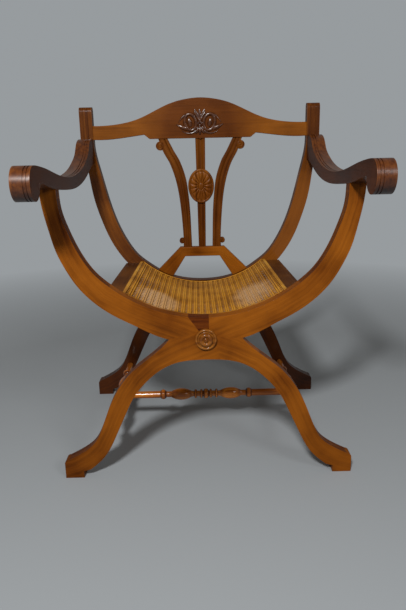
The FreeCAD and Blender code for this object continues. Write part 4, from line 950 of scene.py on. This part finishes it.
# Studio. A pale floor runs out into a pale surround of the same tone, with two lamps in front. The camera
# stands where the photograph was taken from.
surround, floor_radius = (0.31, 0.331, 0.345), 14.0
floor_mesh = bpy.data.meshes.new("studio_floor")
floor_shape = bmesh.new()
bmesh.ops.create_circle(floor_shape, cap_ends=True, segments=96, radius=floor_radius)
floor_shape.to_mesh(floor_mesh)
floor_shape.free()
floor = bpy.data.objects.new("studio_floor", floor_mesh)
bpy.context.scene.collection.objects.link(floor)
floor_paint, tree, shader = new_material("studio_floor_paint")
near = ramp(tree, soft_spot(tree, (0.2, 0.2, 0.2)), (0.5, (0,)), (0.8, (1,)))
shader.inputs["Base Color"].default_value = (*surround, 1)
shader.inputs["Roughness"].default_value = 0.8
glow = add_node(tree, "ShaderNodeEmission", {"Color": (*surround, 1), "Strength": 1.0})
blend = add_node(tree, "ShaderNodeMixShader", {0: near, 1: glow.outputs[0], 2: shader.outputs[0]})
tree.links.new(blend.outputs[0], tree.nodes["Material Output"].inputs["Surface"])
floor_mesh.materials.append(floor_paint)

world = bpy.data.worlds.new("studio_surround")
world.use_nodes = True
bpy.context.scene.world = world
tree = world.node_tree
ray = add_node(tree, "ShaderNodeLightPath").outputs
seen = calculate(tree, "MAXIMUM", ray["Is Camera Ray"], ray["Is Transmission Ray"])
ambient = add_node(tree, "ShaderNodeBackground", {"Color": (1.0, 0.97, 0.93, 1), "Strength": 0.17})
shown = add_node(tree, "ShaderNodeBackground", {"Color": (*surround, 1), "Strength": 1.0})
blend = add_node(tree, "ShaderNodeMixShader", {0: seen, 1: ambient.outputs[0], 2: shown.outputs[0]})
tree.links.new(blend.outputs[0], tree.nodes["World Output"].inputs["Surface"])

for label, place, aim, width, power in (
    ("left_lamp", (-0.5, -2.25, 2.1), (0.0, 0.1, 0.45), 0.35, 78),
    ("right_lamp", (1.5, -2.2, 1.9), (0.0, 0.1, 0.45), 0.8, 15),
):
    lamp = bpy.data.lights.new(label, "AREA")
    lamp.shape, lamp.size, lamp.energy = "DISK", width, power
    lamp_object = bpy.data.objects.new(label, lamp)
    way = (Vector(aim) - Vector(place)).to_track_quat("-Z", "Y")
    lamp_object.matrix_world = Matrix.LocRotScale(Vector(place), way, None)
    bpy.context.scene.collection.objects.link(lamp_object)

camera_place = Vector((-0.0117, -1.29125, 0.7115))
tilt, yaw, roll = 0.2668, 0.0062, -0.0213
focal_length, picture_height, sensor_size = 560, 610, 36
forward = Vector((math.sin(yaw) * math.cos(tilt), math.cos(yaw) * math.cos(tilt), -math.sin(tilt)))
level = Vector((math.cos(yaw), -math.sin(yaw), 0))
upright = level.cross(forward)
picture_right = math.cos(roll) * level + math.sin(roll) * upright
picture_up = math.cos(roll) * upright - math.sin(roll) * level
camera_data = bpy.data.cameras.new("photo_camera")
camera_data.sensor_width, camera_data.lens = sensor_size, focal_length / picture_height * sensor_size
camera = bpy.data.objects.new("photo_camera", camera_data)
turned_to = Matrix((picture_right, picture_up, -forward)).transposed()
camera.matrix_world = Matrix.Translation(camera_place) @ turned_to.to_4x4()
bpy.context.scene.collection.objects.link(camera)
bpy.context.scene.camera = camera
bpy.context.scene.view_settings.view_transform = "Standard"
